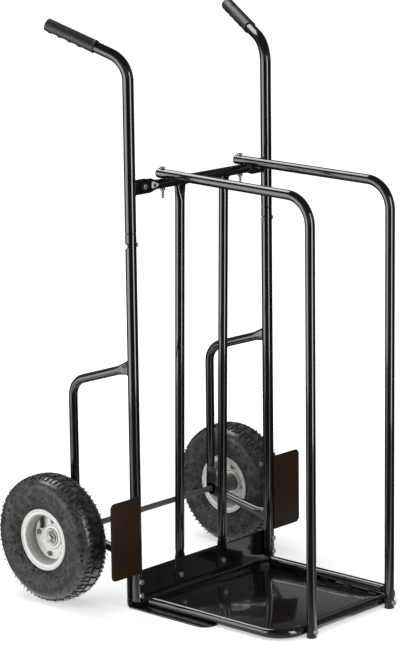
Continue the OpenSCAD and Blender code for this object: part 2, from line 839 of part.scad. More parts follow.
module base_nuts() {
    color(zinc) both_sides() base_bolt_at()
        translate([0, 0, hoop_od + rail_od + 3 * seat_gap]) nut();
}

// ---- wheel brackets ----

module wheel_strut() {
    start = upright_od / 2 - weld_reach + mouth_length;
    run = wheel_strut_run - wheel_strut_tangent - start;
    flat_z = axle_z + wheel_strut_eye + taper_length;
    difference() {
        translate([bracket_x, 0, wheel_strut_z]) rotate([-90 - wheel_strut_slope, 0, 0])
            translate([0, 0, start]) {
                mirror([0, 0, 1]) welded_mouth(bracket_od, mouth_length);
                bent_tube(bracket_od, wheel_strut_bend_r,
                    [run, wheel_strut_elbow_z - wheel_strut_tangent - flat_z], [wheel_strut_turn]);
            }
        upright_space();
    }
    translate([bracket_x, axle_y, flat_z]) rotate([180, 0, 90]) {
        flat_taper(bracket_od, tongue_offset);
        translate([0, 0, taper_length])
            eye_tongue(bracket_od, wheel_strut_eye, tongue_offset, axle_d + hole_play);
    }
}

module left_wheel_strut() {
    color(black_coat) sided(-1) wheel_strut();
}

module right_wheel_strut() {
    color(black_coat) sided(1) wheel_strut();
}

module lower_brace() {
    round_length = brace_run - upright_od / 2 + weld_reach - mouth_length - brace_eye - taper_length;
    difference() {
        translate([bracket_x, axle_y, axle_z]) rotate([brace_angle, 0, 0])
            translate([0, 0, brace_eye + taper_length]) {
                mirror([0, 0, 1]) rotate([0, 0, 90]) {
                    flat_taper(bracket_od, tongue_offset);
                    translate([0, 0, taper_length])
                        eye_tongue(bracket_od, brace_eye, tongue_offset, axle_d + hole_play);
                }
                tube(bracket_od, round_length);
                translate([0, 0, round_length]) welded_mouth(bracket_od, mouth_length);
            }
        upright_space();
    }
}

module left_lower_brace() {
    color(black_coat) sided(-1) lower_brace();
}

module right_lower_brace() {
    color(black_coat) sided(1) lower_brace();
}

module wheel_guard() {
    back_y = -sqrt(pow(upright_od / 2, 2) - pow(guard_inset, 2)) - seat_gap;
    translate([upright_x + guard_inset, back_y, guard_z]) rotate([90, 0, 0]) linear_extrude(guard_t) {
        square([guard_width - guard_corner_r, guard_height]);
        translate([0, guard_corner_r]) square([guard_width, guard_height - 2 * guard_corner_r]);
        for (z = [guard_corner_r, guard_height - guard_corner_r])
            translate([guard_width - guard_corner_r, z]) circle(r = guard_corner_r);
    }
}

module left_wheel_guard() {
    color(black_coat) sided(-1) wheel_guard();
}

module right_wheel_guard() {
    color(black_coat) sided(1) wheel_guard();
}

module axle() {
    body_end = axle_end_x - axle_chamfer;
    color(galvanised) placed() translate([0, axle_y, axle_z]) difference() {
        rotate([0, 90, 0]) {
            translate([0, 0, -body_end]) cylinder(d = axle_d, h = 2 * body_end);
            for (side = [0, 1]) mirror([0, 0, side]) translate([0, 0, body_end])
                cylinder(d1 = axle_d, d2 = axle_d - 2 * axle_chamfer, h = axle_chamfer);
        }
        for (side = [-1, 1]) translate([side * cotter_x, 0, -axle_d])
            cylinder(d = cotter_d + hole_play / 2, h = 2 * axle_d);
    }
}

module axle_washers() {
    color(zinc) both_sides() for (x = [inner_washer_x, outer_washer_x])
        translate([x, axle_y, axle_z]) rotate([0, 90, 0])
            linear_extrude(washer_t) ring(washer_od, axle_d + hole_play);
}

// A cotter pin through the axle with an eye on top and two legs bent apart
module cotter_pins() {
    eye_r = cotter_d * 1.25;
    leg_d = cotter_d * 0.8;
    below = axle_d * 0.75;
    above = axle_d * 0.58;
    color(zinc) both_sides() translate([cotter_x, axle_y, axle_z]) {
        translate([0, 0, -below]) cylinder(d = cotter_d, h = below + above + cotter_d / 2);
        translate([0, 0, above + eye_r + cotter_d / 2]) rotate([0, 90, 0]) rotate_extrude()
            translate([eye_r, 0]) circle(d = cotter_d);
        translate([0, 0, -below + cotter_d / 2]) for (bend = [-cotter_bend, cotter_bend])
            rotate([bend, 0, 0]) mirror([0, 0, 1]) cylinder(d = leg_d, h = cotter_leg);
    }
}

// ---- wheels ----

// Places a piece built round +Z, with +Z outboard and the centre plane at z = 0
module wheel_at(side) {
    sided(side) translate([wheel_x, axle_y, axle_z]) rotate([0, 90, 0]) children();
}

module tyre() {
    half = tyre_width / 2;
    bead = rim_width / 2 - soft_gap;
    foot_r = bead_seat_r + 0.2;
    lug_gap = 360 / lug_count;
    outside = both_curves(side_curve(half, crown_h, flank_h, foot_r, bead));
    inside = both_curves(side_curve(half - tyre_wall, crown_h - tyre_wall - tread_depth,
        flank_h - 2, foot_r, bead - bead_w));
    difference() {
        rotate_extrude() polygon(concat(outside, reversed(inside)));
        // grooves round the crown
        for (z = [-tread_groove_z, tread_groove_z]) rotate_extrude()
            translate([tyre_d / 2 - tread_depth, z - tread_gap / 2]) square([tread_depth + past, tread_gap]);
        // gaps between the shoulder lugs
        for (i = [0 : lug_count - 1], side = [-1, 1]) rotate([0, 0, (i + side / 4) * lug_gap])
            translate([tyre_d / 2 - lug_depth, -tread_gap / 2, side * (half - lug_w / 4) - lug_w / 2])
                cube([lug_depth + past, tread_gap, lug_w]);
    }
}

// The inner tube follows the inside of the tyre and rests on the rim's bead seats
module inner_tube() {
    half = tyre_width / 2 - tyre_wall - soft_gap;
    crown = crown_h - tyre_wall - tread_depth - soft_gap;
    foot_r = bead_seat_r + soft_gap;
    foot_w = rim_width / 2 - bead_w - 2 * soft_gap;
    rotate_extrude() difference() {
        polygon(both_curves(side_curve(half, crown, flank_h - 2, foot_r, foot_w)));
        polygon(both_curves(side_curve(half - inner_tube_wall, crown - inner_tube_wall,
            flank_h - 2 - inner_tube_wall, foot_r + inner_tube_wall, foot_w - inner_tube_wall)));
    }
}

// At the valve stem where it leaves the rim's well, with +Z pointing inwards
module valve_at() {
    translate([-valve_reach, valve_offset, valve_z]) rotate([0, 90, 0]) children();
}

// Every rim bolt, with +Z outboard from the inboard half's disc
module rim_bolt_at() {
    for (i = [0 : rim_bolt_count - 1]) rotate([0, 0, rim_bolt_turn + i * 360 / rim_bolt_count])
        translate([rim_bolt_pcd / 2, 0, -rim_t - seat_gap]) children();
}

// One pressed half of the rim: disc, well, bead seat and rolled flange
module rim_half() {
    face = rim_width / 2;
    disc = seat_gap / 2;
    step_end = rim_well_w + rim_step;
    difference() {
        rotate_extrude() {
            polygon([
                [hub_hole_d / 2, disc], [well_r, disc], [well_r, rim_well_w], [bead_seat_r, step_end],
                [bead_seat_r, face], [flange_r - rim_roll, face], [flange_r - rim_roll, face + rim_t],
                [bead_seat_r - rim_t, face + rim_t], [bead_seat_r - rim_t, step_end + rim_t],
                [well_r - rim_t, rim_well_w + rim_t], [well_r - rim_t, disc + rim_t],
                [hub_hole_d / 2, disc + rim_t]]);
            translate([flange_r - rim_roll, face + rim_roll - seat_gap]) circle(r = rim_roll);
        }
        rim_bolt_at() bolt_hole(2 * rim_t);
    }
}

module outer_rim() {
    difference() {
        rim_half();
        valve_at() translate([0, 0, -valve_d]) cylinder(d = valve_d + hole_play, h = 2 * valve_d);
    }
}

// The inboard half is turned over, and its bolt holes stay in line
module inner_rim() {
    mirror([0, 0, 1]) rim_half();
}

module hub() {
    seat_r = bearing_od / 2 + seat_gap;
    inner_r = bearing_od / 2 - bearing_step;
    seat = bearing_width + seat_gap;
    rotate_extrude() translate([0, hub_start]) polygon([
        [hub_od / 2, 0], [hub_od / 2, hub_length], [seat_r, hub_length], [seat_r, hub_length - seat],
        [inner_r, hub_length - seat], [inner_r, seat], [seat_r, seat], [seat_r, 0]]);
}

// A race with its ball groove
module race(od, id) {
    difference() {
        linear_extrude(bearing_width) ring(od, id);
        translate([0, 0, bearing_width / 2]) rotate_extrude()
            translate([ball_circle_d / 2, 0]) circle(d = ball_d);
    }
}

// Ball bearing from z = 0: two races, a ring of balls and two shields
module bearing() {
    inner_race_d = bearing_id + 2 * race_t;
    outer_race_d = bearing_od - 2 * race_t;
    race(inner_race_d, bearing_id);
    race(bearing_od, outer_race_d);
    for (i = [0 : ball_count - 1]) rotate([0, 0, i * 360 / ball_count])
        translate([ball_circle_d / 2, 0, bearing_width / 2]) sphere(d = ball_d - 2 * seat_gap);
    for (z = [shield_inset, bearing_width - shield_inset - shield_t]) translate([0, 0, z])
        linear_extrude(shield_t) ring(outer_race_d - 2 * seat_gap, inner_race_d + hole_play);
}

module bearings() {
    for (z = [hub_start, hub_start + hub_length - bearing_width]) translate([0, 0, z]) bearing();
}

module rim_bolts() {
    rim_bolt_at() translate([0, 0, -seat_gap]) bolt(2 * rim_t + 3 * seat_gap + nut_h + past);
}

module rim_nuts() {
    rim_bolt_at() translate([0, 0, 2 * rim_t + 2 * seat_gap]) nut();
}

module valve_stem() {
    body = valve_length - valve_cap_length;
    valve_at() {
        translate([0, 0, -valve_root]) cylinder(d = valve_d, h = valve_root + body);
        translate([0, 0, body]) cylinder(d = valve_core_d, h = valve_cap_length * 0.78);
    }
}

module valve_cap() {
    edge = valve_cap_length * 0.11;
    roof = valve_cap_length * 0.2;
    valve_at() translate([0, 0, valve_length - valve_cap_length + seat_gap]) difference() {
        union() {
            cylinder(d = valve_d, h = valve_cap_length - edge);
            translate([0, 0, valve_cap_length - edge])
                cylinder(d1 = valve_d, d2 = valve_d - 2 * edge, h = edge);
        }
        translate([0, 0, -past])
            cylinder(d = valve_core_d + 2 * seat_gap, h = valve_cap_length - roof + past);
    }
}

module left_tyre() {
    color(rubber_black) wheel_at(-1) tyre();
}

module right_tyre() {
    color(rubber_black) wheel_at(1) tyre();
}

module left_inner_tube() {
    color(rubber_black) wheel_at(-1) inner_tube();
}

module right_inner_tube() {
    color(rubber_black) wheel_at(1) inner_tube();
}

module left_outer_rim() {
    color(zinc) wheel_at(-1) outer_rim();
}

module right_outer_rim() {
    color(zinc) wheel_at(1) outer_rim();
}

module left_inner_rim() {
    color(zinc) wheel_at(-1) inner_rim();
}

module right_inner_rim() {
    color(zinc) wheel_at(1) inner_rim();
}

module left_hub() {
    color(zinc) wheel_at(-1) hub();
}

module right_hub() {
    color(zinc) wheel_at(1) hub();
}

module left_bearings() {
    color(zinc) wheel_at(-1) bearings();
}

module right_bearings() {
    color(zinc) wheel_at(1) bearings();
}

module left_rim_bolts() {
    color(zinc) wheel_at(-1) rim_bolts();
}

module right_rim_bolts() {
    color(zinc) wheel_at(1) rim_bolts();
}

module left_rim_nuts() {
    color(zinc) wheel_at(-1) rim_nuts();
}

module right_rim_nuts() {
    color(zinc) wheel_at(1) rim_nuts();
}

module left_valve_stem() {
    color(plastic_black) wheel_at(-1) valve_stem();
}

module right_valve_stem() {
    color(plastic_black) wheel_at(1) valve_stem();
}

module left_valve_cap() {
    color(plastic_black) wheel_at(-1) valve_cap();
}

module right_valve_cap() {
    color(plastic_black) wheel_at(1) valve_cap();
}

left_upright();
right_upright();
left_handle_tube();
right_handle_tube();
left_grip();
right_grip();
joint_bolts();
joint_nuts();
crossbar();
crossbar_tabs();
crossbar_bolts();
crossbar_nuts();
left_hoop();
right_hoop();
hoop_end_plugs();
hoop_foot_caps();
hoop_bolts();
hoop_nuts();
left_strut();
right_strut();
strut_foot_bolts();
strut_foot_nuts();
toe_plate();
toe_plate_bolts();
toe_plate_nuts();
base_rail();
base_floor();
base_bolts();
base_nuts();
left_wheel_strut();
right_wheel_strut();
left_lower_brace();
right_lower_brace();
left_wheel_guard();
right_wheel_guard();
axle();
axle_washers();
cotter_pins();
left_tyre();
left_inner_tube();
left_outer_rim();
left_inner_rim();
left_hub();
left_bearings();
left_rim_bolts();
left_rim_nuts();
left_valve_stem();
left_valve_cap();
right_tyre();
right_inner_tube();
right_outer_rim();
right_inner_rim();
right_hub();
right_bearings();
right_rim_bolts();
right_rim_nuts();
right_valve_stem();
right_valve_cap();
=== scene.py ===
import math

import bmesh
import bpy
from mathutils import Matrix, Vector


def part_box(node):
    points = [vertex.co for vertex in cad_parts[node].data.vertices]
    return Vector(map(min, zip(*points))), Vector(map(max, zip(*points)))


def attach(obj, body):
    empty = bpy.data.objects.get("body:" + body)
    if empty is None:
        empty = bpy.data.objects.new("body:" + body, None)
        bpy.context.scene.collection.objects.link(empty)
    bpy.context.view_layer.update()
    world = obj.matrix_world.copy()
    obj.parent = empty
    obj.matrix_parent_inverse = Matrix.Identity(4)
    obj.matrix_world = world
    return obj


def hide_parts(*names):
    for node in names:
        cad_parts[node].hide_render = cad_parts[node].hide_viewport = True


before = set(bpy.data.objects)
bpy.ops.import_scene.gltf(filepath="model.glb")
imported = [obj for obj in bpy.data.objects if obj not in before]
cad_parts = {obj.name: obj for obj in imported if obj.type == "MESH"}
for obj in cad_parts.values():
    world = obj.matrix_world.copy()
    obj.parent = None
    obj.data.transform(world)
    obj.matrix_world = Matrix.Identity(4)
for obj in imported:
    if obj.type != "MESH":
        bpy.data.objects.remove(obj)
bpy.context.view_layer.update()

# Camera. A long lens looks down a little on the cart from the load side, left of
# the middle, and its rotation is a turn, a tilt and a small roll.
bpy.ops.object.camera_add(location=(0, 0, 0))
camera = bpy.context.object
camera.data.sensor_fit = "HORIZONTAL"
camera.data.sensor_width = 36
camera.data.lens = 240.656
camera.data.clip_end = 200
camera.matrix_world = (
    Matrix.Translation((-3.8623, -3.487925, 1.6615))
    @ Matrix.Rotation(math.radians(-47.457), 4, "Z")
    @ Matrix.Rotation(math.radians(90 - 12.099), 4, "X")
    @ Matrix.Rotation(math.radians(-0.735), 4, "Z")
)
bpy.context.scene.camera = camera

# Studio. A white sweep on the floor, a wide dim softbox on the left, a narrow
# brighter one on the right, one high at the back and a flat one overhead.
bpy.context.scene.view_settings.view_transform = "Standard"
camera_left = Vector((-0.676, 0.737, 0))
camera_side = Vector((-0.737, -0.676, 0))


def softbox(name, turn, distance, middle_z, width, height, radiance):
    """A rectangular soft light that faces the cart, turned to the left of the camera."""
    outward = camera_side * math.cos(math.radians(turn)) + camera_left * math.sin(math.radians(turn))
    place = outward * distance + Vector((0, 0, middle_z))
    bpy.ops.object.light_add(type="AREA", location=place)
    lamp = bpy.context.object
    lamp.name = name
    lamp.rotation_euler = (place - Vector((0, 0, 0.5))).to_track_quat("Z", "Y").to_euler()
    lamp.data.shape = "RECTANGLE"
    lamp.data.size = width
    lamp.data.size_y = height
    lamp.data.energy = radiance * math.pi * width * height
    lamp.visible_camera = False
    return lamp


left_turn = 70
right_turn = -43
softbox("left_softbox", left_turn, distance=1.8, middle_z=0.74, width=1.7, height=1.5, radiance=1.8)
softbox("right_softbox", right_turn, distance=1.6, middle_z=0.76, width=0.52, height=1.5, radiance=4.4)
softbox("back_softbox", 136, distance=1.5, middle_z=2.5, width=1.5, height=1.3, radiance=4.0)
overhead = softbox("top_softbox", 0, distance=0.3, middle_z=3.0, width=3.4, height=3.2, radiance=0.9)
overhead.visible_glossy = False


def surface(name, roughness, metallic=0.0):
    """A new material: its tree, its shader and the place on the piece in metres."""
    material = bpy.data.materials.new(name)
    material.use_nodes = True
    leaf = material.node_tree
    shader = leaf.nodes["Principled BSDF"]
    shader.inputs["Roughness"].default_value = roughness
    shader.inputs["Metallic"].default_value = metallic
    place = leaf.nodes.new("ShaderNodeTexCoord").outputs["Object"]
    return material, leaf, shader, place


def noise(leaf, place, scale, detail=2.0, rough=0.5):
    made = leaf.nodes.new("ShaderNodeTexNoise")
    made.inputs["Scale"].default_value = scale
    made.inputs["Detail"].default_value = detail
    made.inputs["Roughness"].default_value = rough
    leaf.links.new(place, made.inputs["Vector"])
    return made.outputs["Fac"]


def level(leaf, value, low, high, out_low=0.0, out_high=1.0):
    """Fades from one number to another while a value goes from `low` to `high`."""
    made = leaf.nodes.new("ShaderNodeMapRange")
    made.inputs["From Min"].default_value = low
    made.inputs["From Max"].default_value = high
    made.inputs["To Min"].default_value = out_low
    made.inputs["To Max"].default_value = out_high
    leaf.links.new(value, made.inputs["Value"])
    return made.outputs["Result"]


def maths(leaf, operation, *values):
    made = leaf.nodes.new("ShaderNodeMath")
    made.operation = operation
    for socket, value in zip(made.inputs, values):
        if isinstance(value, (int, float)):
            socket.default_value = value
        else:
            leaf.links.new(value, socket)
    return made.outputs["Value"]


def x_y_z(leaf, place):
    made = leaf.nodes.new("ShaderNodeSeparateXYZ")
    leaf.links.new(place, made.inputs["Vector"])
    return made.outputs


studio = bpy.data.worlds.new("studio")
bpy.context.scene.world = studio
studio.use_nodes = True
sky = studio.node_tree
sky.nodes.clear()
sky_out = sky.nodes.new("ShaderNodeOutputWorld")
sky_light = sky.nodes.new("ShaderNodeBackground")
sky_light.inputs["Strength"].default_value = 1
sky.links.new(sky_light.outputs["Background"], sky_out.inputs["Surface"])
sky_ray = sky.nodes.new("ShaderNodeLightPath").outputs
sky_z = x_y_z(sky, sky.nodes.new("ShaderNodeTexCoord").outputs["Generated"])["Z"]
sky_band = level(sky, sky_z, 0.3, 0.6, 0.4, 0.1)
gloss_share = maths(sky, "MULTIPLY_ADD", sky_ray["Is Glossy Ray"], -0.6, 1)
sky_dim = maths(sky, "MULTIPLY", sky_band, gloss_share)
sky.links.new(maths(sky, "MAXIMUM", sky_dim, sky_ray["Is Camera Ray"]), sky_light.inputs["Color"])

bpy.ops.mesh.primitive_plane_add(size=60, location=(0, 0, 0))
sweep = bpy.context.object
sweep.name = "white_sweep"
paper, tree, paper_shader, paper_place = surface("white_sweep", 1)
paper_shader.inputs["Specular IOR Level"].default_value = 0
paper_grain = noise(tree, paper_place.node.outputs["Generated"], 3)
tree.links.new(level(tree, paper_grain, 0, 1, 0.80, 0.84), paper_shader.inputs["Base Color"])
paper_ray = tree.nodes.new("ShaderNodeLightPath").outputs


def paper_measure(operation, way=(0, 0, 0)):
    """A spot's distance from the middle of the floor, straight or along a way."""
    made = tree.nodes.new("ShaderNodeVectorMath")
    made.operation = operation
    made.inputs[1].default_value = way
    tree.links.new(paper_place, made.inputs[0])
    return made.outputs["Value"]


def paper_sector(middle, reach, strength):
    """The share of the floor under a softbox that glossy surfaces see lit, by its turn."""
    off = maths(tree, "ABSOLUTE", maths(tree, "SUBTRACT", paper_turn, math.radians(middle)))
    return level(tree, off, math.radians(reach - 3), math.radians(reach + 3), strength, 0.02)


def paper_glow(strength):
    made = tree.nodes.new("ShaderNodeEmission")
    tree.links.new(strength, made.inputs["Strength"])
    return made.outputs["Emission"]


paper_reach = paper_measure("LENGTH")
paper_turn = maths(
    tree, "ARCTAN2", paper_measure("DOT_PRODUCT", camera_left), paper_measure("DOT_PRODUCT", camera_side))
paper_lift = level(tree, paper_reach, 0.3, 2.2, 0.5, 1.05)
camera_lift = maths(tree, "MULTIPLY", paper_ray["Is Camera Ray"], paper_lift)
paper_seen = tree.nodes.new("ShaderNodeAddShader")
tree.links.new(paper_shader.outputs["BSDF"], paper_seen.inputs[0])
tree.links.new(paper_glow(camera_lift), paper_seen.inputs[1])
paper_bright = level(tree, paper_reach, 0.3, 0.65, 0.4, 0.0)
for lit in (paper_sector(left_turn, 25, 0.9), paper_sector(right_turn, 9, 1.0)):
    paper_bright = maths(tree, "MAXIMUM", paper_bright, lit)
paper_mix = tree.nodes.new("ShaderNodeMixShader")
tree.links.new(paper_ray["Is Glossy Ray"], paper_mix.inputs["Fac"])
tree.links.new(paper_seen.outputs["Shader"], paper_mix.inputs[1])
tree.links.new(paper_glow(paper_bright), paper_mix.inputs[2])
tree.links.new(paper_mix.outputs["Shader"], tree.nodes["Material Output"].inputs["Surface"])
sweep.data.materials.append(paper)

# Uprights. Two straight steel tubes, cut square, with the top edge chamfered where
# the handle tube meets it, and coated in gloss black powder.
upright_radius = 0.011
tube_wall = 0.0015
upright_low, upright_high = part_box("right_upright")
mast_x = (upright_low.x + upright_high.x) / 2
mast_y = (upright_low.y + upright_high.y) / 2
joint_z = upright_high.z
joint_chamfer = 0.001


def clear():
    """Leaves edit mode and deselects everything."""
    if bpy.context.object and bpy.context.object.mode != "OBJECT":
        bpy.ops.object.mode_set(mode="OBJECT")
    bpy.ops.object.select_all(action="DESELECT")


def only(piece):
    clear()
    piece.select_set(True)
    bpy.context.view_layer.objects.active = piece


def apply_place():
    bpy.ops.object.transform_apply(location=True, rotation=True, scale=True)


def open_all(piece):
    """Opens a piece in edit mode with all of it selected."""
    only(piece)
    bpy.ops.object.mode_set(mode="EDIT")
    bpy.ops.mesh.select_all(action="SELECT")


def start_tube(name, place, along, radius, sides=40):
    """A circle of edges, square to `along`, that the next steps pull into a tube."""
    clear()
    turn = Vector(along).to_track_quat("Z", "Y").to_euler()
    bpy.ops.mesh.primitive_circle_add(vertices=sides, radius=radius, location=place, rotation=turn)
    tube = bpy.context.object
    tube.name = name
    apply_place()
    open_all(tube)
    return tube


def pull(step, cuts=1):
    for _ in range(cuts):
        bpy.ops.mesh.extrude_region_move(TRANSFORM_OT_translate={"value": Vector(step) / cuts})


def pull_to(place, middle, factor=1.0):
    """Pulls the ring whose middle is `middle` to `place`, and makes it wider or narrower."""
    bpy.ops.mesh.extrude_region_move(TRANSFORM_OT_translate={"value": Vector(place) - Vector(middle)})
    if factor != 1:
        bpy.ops.transform.resize(value=(factor, factor, factor), center_override=place)


def bend(centre, axis, degrees, steps=14):
    """Bends the tube on round an axis. Spin turns clockwise, so its angle is negative."""
    bpy.ops.mesh.spin(steps=steps, angle=-math.radians(degrees), center=centre, axis=axis)


def twin(piece):
    """The left-hand piece: a copy with its own mesh, turned over across the middle."""
    only(piece)
    bpy.ops.object.duplicate()
    copy = bpy.context.object
    copy.name = piece.name.replace("right_", "left_", 1)
    copy.scale = (-1, 1, 1)
    apply_place()
    return copy


def finish(piece, material, slot, body, *nodes, wall=0, bevel=0, angle=32):
    """Welds doubles, turns faces outwards, gives the wall its thickness and dresses the piece."""
    open_all(piece)
    bpy.ops.mesh.remove_doubles(threshold=0.000005)
    bpy.ops.mesh.normals_make_consistent(inside=False)
    bpy.ops.object.mode_set(mode="OBJECT")
    if wall:
        skin = piece.modifiers.new("wall", "SOLIDIFY")
        skin.thickness = wall
        skin.offset = -1
        bpy.ops.object.modifier_apply(modifier="wall")
    if bevel:
        edge = piece.modifiers.new("edge", "BEVEL")
        edge.width = bevel
        edge.segments = 2
        edge.limit_method = "ANGLE"
        edge.angle_limit = math.radians(40)
        bpy.ops.object.modifier_apply(modifier="edge")
    bpy.ops.object.shade_smooth_by_angle(angle=math.radians(angle))
    piece.data.materials.clear()
    piece.data.materials.append(material)
    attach(piece, body)
    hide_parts(*nodes)
    return piece


def finish_both(right, material, slot, right_body, right_node, **how):
    """Makes the left-hand twin of a right-hand piece and finishes the two."""
    left = twin(right)
    finish(right, material, slot, right_body, right_node, **how)
    left_body, left_node = (name.replace("right_", "left_", 1) for name in (right_body, right_node))
    finish(left, material, slot, left_body, left_node, **how)


def colours(leaf, mask, first, second):
    made = leaf.nodes.new("ShaderNodeMix")
    made.data_type = "RGBA"
    leaf.links.new(mask, made.inputs["Factor"])
    for socket, value in ((made.inputs[6], first), (made.inputs[7], second)):
        if isinstance(value, tuple):
            socket.default_value = (*value, 1)
        else:
            leaf.links.new(value, socket)
    return made.outputs[2]


def height(leaf, value, distance, under=None, strength=1.0):
    """A bump whose full height is `distance` metres, on top of another one."""
    made = leaf.nodes.new("ShaderNodeBump")
    made.inputs["Strength"].default_value = strength
    made.inputs["Distance"].default_value = distance
    leaf.links.new(value, made.inputs["Height"])
    if under is not None:
        leaf.links.new(under, made.inputs["Normal"])
    return made.outputs["Normal"]


def connect(leaf, shader, colour, roughness, normal):
    for value, socket in ((colour, "Base Color"), (roughness, "Roughness"), (normal, "Normal")):
        leaf.links.new(value, shader.inputs[socket])


def powder_coat(name, base, skin=1.0, shine=0.5, dull=0.0):
    """Gloss powder coat: a clear skin, orange peel, faint clouds, a few rubs and dust low down."""
    material, leaf, shader, place = surface(name, 0.2)
    shader.inputs["IOR"].default_value = 1.55
    shader.inputs["Specular IOR Level"].default_value = shine
    shader.inputs["Coat Weight"].default_value = skin
    shader.inputs["Coat Roughness"].default_value = 0.06
    shader.inputs["Coat IOR"].default_value = 1.6
    cloud = noise(leaf, place, 14, 4)
    rubs = level(leaf, noise(leaf, place, 55, 5, 0.65), 0.62, 0.7)
    low = level(leaf, x_y_z(leaf, place)["Z"], 0.16, 0.0)
    dust = maths(leaf, "MULTIPLY", low, level(leaf, noise(leaf, place, 60, 5, 0.6), 0.45, 0.75, 0.0, 0.14))
    coat = colours(leaf, cloud, tuple(0.8 * c for c in base), tuple(1.25 * c for c in base))
    gloss = level(leaf, cloud, 0.3, 0.7, 0.09 + dull, 0.16 + dull)
    gloss = maths(leaf, "ADD", gloss, maths(leaf, "MULTIPLY", rubs, 0.1))
    gloss = maths(leaf, "ADD", gloss, maths(leaf, "MULTIPLY", dust, 0.5))
    peel = height(leaf, noise(leaf, place, 300, 2), 0.000004)
    connect(leaf, shader, colours(leaf, dust, coat, (0.03, 0.028, 0.025)), gloss,
            height(leaf, rubs, 0.000004, peel))
    return material


black_coat = powder_coat("black_powder_coat", (0.006, 0.0057, 0.0062))

cut_edge = 0.0003
foot = (mast_x, mast_y, upright_low.z)
upright = start_tube("right_upright_tube", foot, (0, 0, 1), upright_radius - cut_edge, 48)
pull((0, 0, cut_edge))
bpy.ops.transform.resize(value=(1.028, 1.028, 1), center_override=foot)
pull((0, 0, joint_z - joint_chamfer - upright_low.z - cut_edge))
pull((0, 0, joint_chamfer))
bpy.ops.transform.resize(value=(0.91, 0.91, 1), center_override=(mast_x, mast_y, joint_z))
clear()
finish_both(upright, black_coat, "black_powder_coat", "frame", "right_upright", wall=tube_wall)

# Handle tubes. A swaged spigot slides down into each upright, and the tube above it
# is bent back and outwards to the grip.
spigot_radius = 0.0094
spigot_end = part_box("right_handle_tube")[0].z
elbow_z = 1.088
elbow_radius = 0.055
elbow_turn = 68
splay = math.radians(21)
rise = math.radians(22)
handle_reach = 0.178
handle_way = Vector((math.sin(splay) * math.cos(rise), math.cos(splay) * math.cos(rise), math.sin(rise)))
elbow = Vector((mast_x, mast_y, elbow_z))
elbow_tangent = elbow_radius * math.tan(math.radians(elbow_turn / 2))
flat_way = Vector((math.sin(splay), math.cos(splay), 0))

handle = start_tube("right_handle_steel", (mast_x, mast_y, spigot_end), (0, 0, 1), spigot_radius, 48)
pull((0, 0, joint_z - spigot_end))
top = (mast_x, mast_y, joint_z)
pull_to(top, top, 0.01 / spigot_radius)
pull_to((mast_x, mast_y, joint_z + joint_chamfer), top, 1.1)
pull((0, 0, elbow_z - elbow_tangent - joint_z - joint_chamfer))
bend(elbow - Vector((0, 0, elbow_tangent)) + flat_way * elbow_radius,
     Vector((-math.cos(splay), math.sin(splay), 0)), elbow_turn, 18)
pull(handle_way * (handle_reach - elbow_tangent))
clear()
finish_both(handle, black_coat, "black_powder_coat", "frame", "right_handle_tube", wall=tube_wall)

# Grips. Soft black plastic sleeves pushed over the handle tubes, with a collar, a
# closed round end and four finger ridges moulded underneath.
grip_length = 0.110
grip_radius = 0.01275
grip_collar_radius = 0.0133
grip_start = elbow + handle_way * (handle_reach + 0.003 - grip_length)
grip_side = Vector((math.cos(splay), -math.sin(splay), 0))
ridge_height = 0.0015
ridge_spots = [0.0315 + 0.022 * i for i in range(4)]


def smooth(share):
    share = min(1, max(0, share))
    return share * share * (3 - 2 * share)


def lathe(name, centre, axis, outline, sides=48):
    """Turns an outline of (radius, distance along the axis) points round an axis."""
    centre = Vector(centre)
    axis = Vector(axis).normalized()
    outward = axis.orthogonal().normalized()
    spots = [centre + outward * radius + axis * along for radius, along in outline]
    clear()
    bpy.ops.mesh.primitive_plane_add(size=0.001, location=spots[0])
    turned = bpy.context.object
    turned.name = name
    apply_place()
    open_all(turned)
    bpy.ops.mesh.merge(type="CENTER")
    for before, after in zip(spots, spots[1:]):
        bpy.ops.mesh.extrude_region_move(TRANSFORM_OT_translate={"value": after - before})
    bpy.ops.mesh.select_all(action="SELECT")
    bpy.ops.mesh.spin(steps=sides, angle=2 * math.pi, center=centre, axis=axis)
    bpy.ops.mesh.select_all(action="SELECT")
    bpy.ops.mesh.remove_doubles(threshold=0.00001)
    clear()
    return turned


def reshape(piece, origin, way, wide, rule):
    """Moves each point by its place along `way`, across it and square to both."""
    origin, way, wide = Vector(origin), Vector(way).normalized(), Vector(wide).normalized()
    rise = way.cross(wide)
    for point in piece.data.vertices:
        place = point.co - origin
        along, across, up = rule(place.dot(way), place.dot(wide), place.dot(rise))
        point.co = origin + way * along + wide * across + rise * up


def finger_ridges(along, across, up):
    """Raises the sleeve into ridges on its underside, with a shallow hollow between them."""
    spread = math.hypot(across, up)
    if spread < 0.0118 or not 0.02 < along < 0.1065:
        return along, across, up
    near = min(abs(along - spot) for spot in ridge_spots)
    under = smooth((up / spread - 0.68) / 0.26)
    lift = ridge_height * max(0, 1 - near / 0.005) ** 1.15 - 0.0005 * smooth((near - 0.004) / 0.005)
    share = (spread + lift * under) / spread
    return along, across * share, up * share


grip_plastic, leaf, shader, place = surface("soft_grip", 0.42)
shader.inputs["Specular IOR Level"].default_value = 0.8
grip_cloud = noise(leaf, place, 38, 4)
grain = leaf.nodes.new("ShaderNodeTexVoronoi")
grain.inputs["Scale"].default_value = 950
leaf.links.new(place, grain.inputs["Vector"])
soft_dents = height(leaf, noise(leaf, place, 160, 3), 0.00012)
connect(leaf, shader, colours(leaf, grip_cloud, (0.016, 0.0145, 0.017), (0.030, 0.027, 0.031)),
        level(leaf, grip_cloud, 0.3, 0.7, 0.36, 0.5),
        height(leaf, grain.outputs["Distance"], 0.00004, soft_dents))

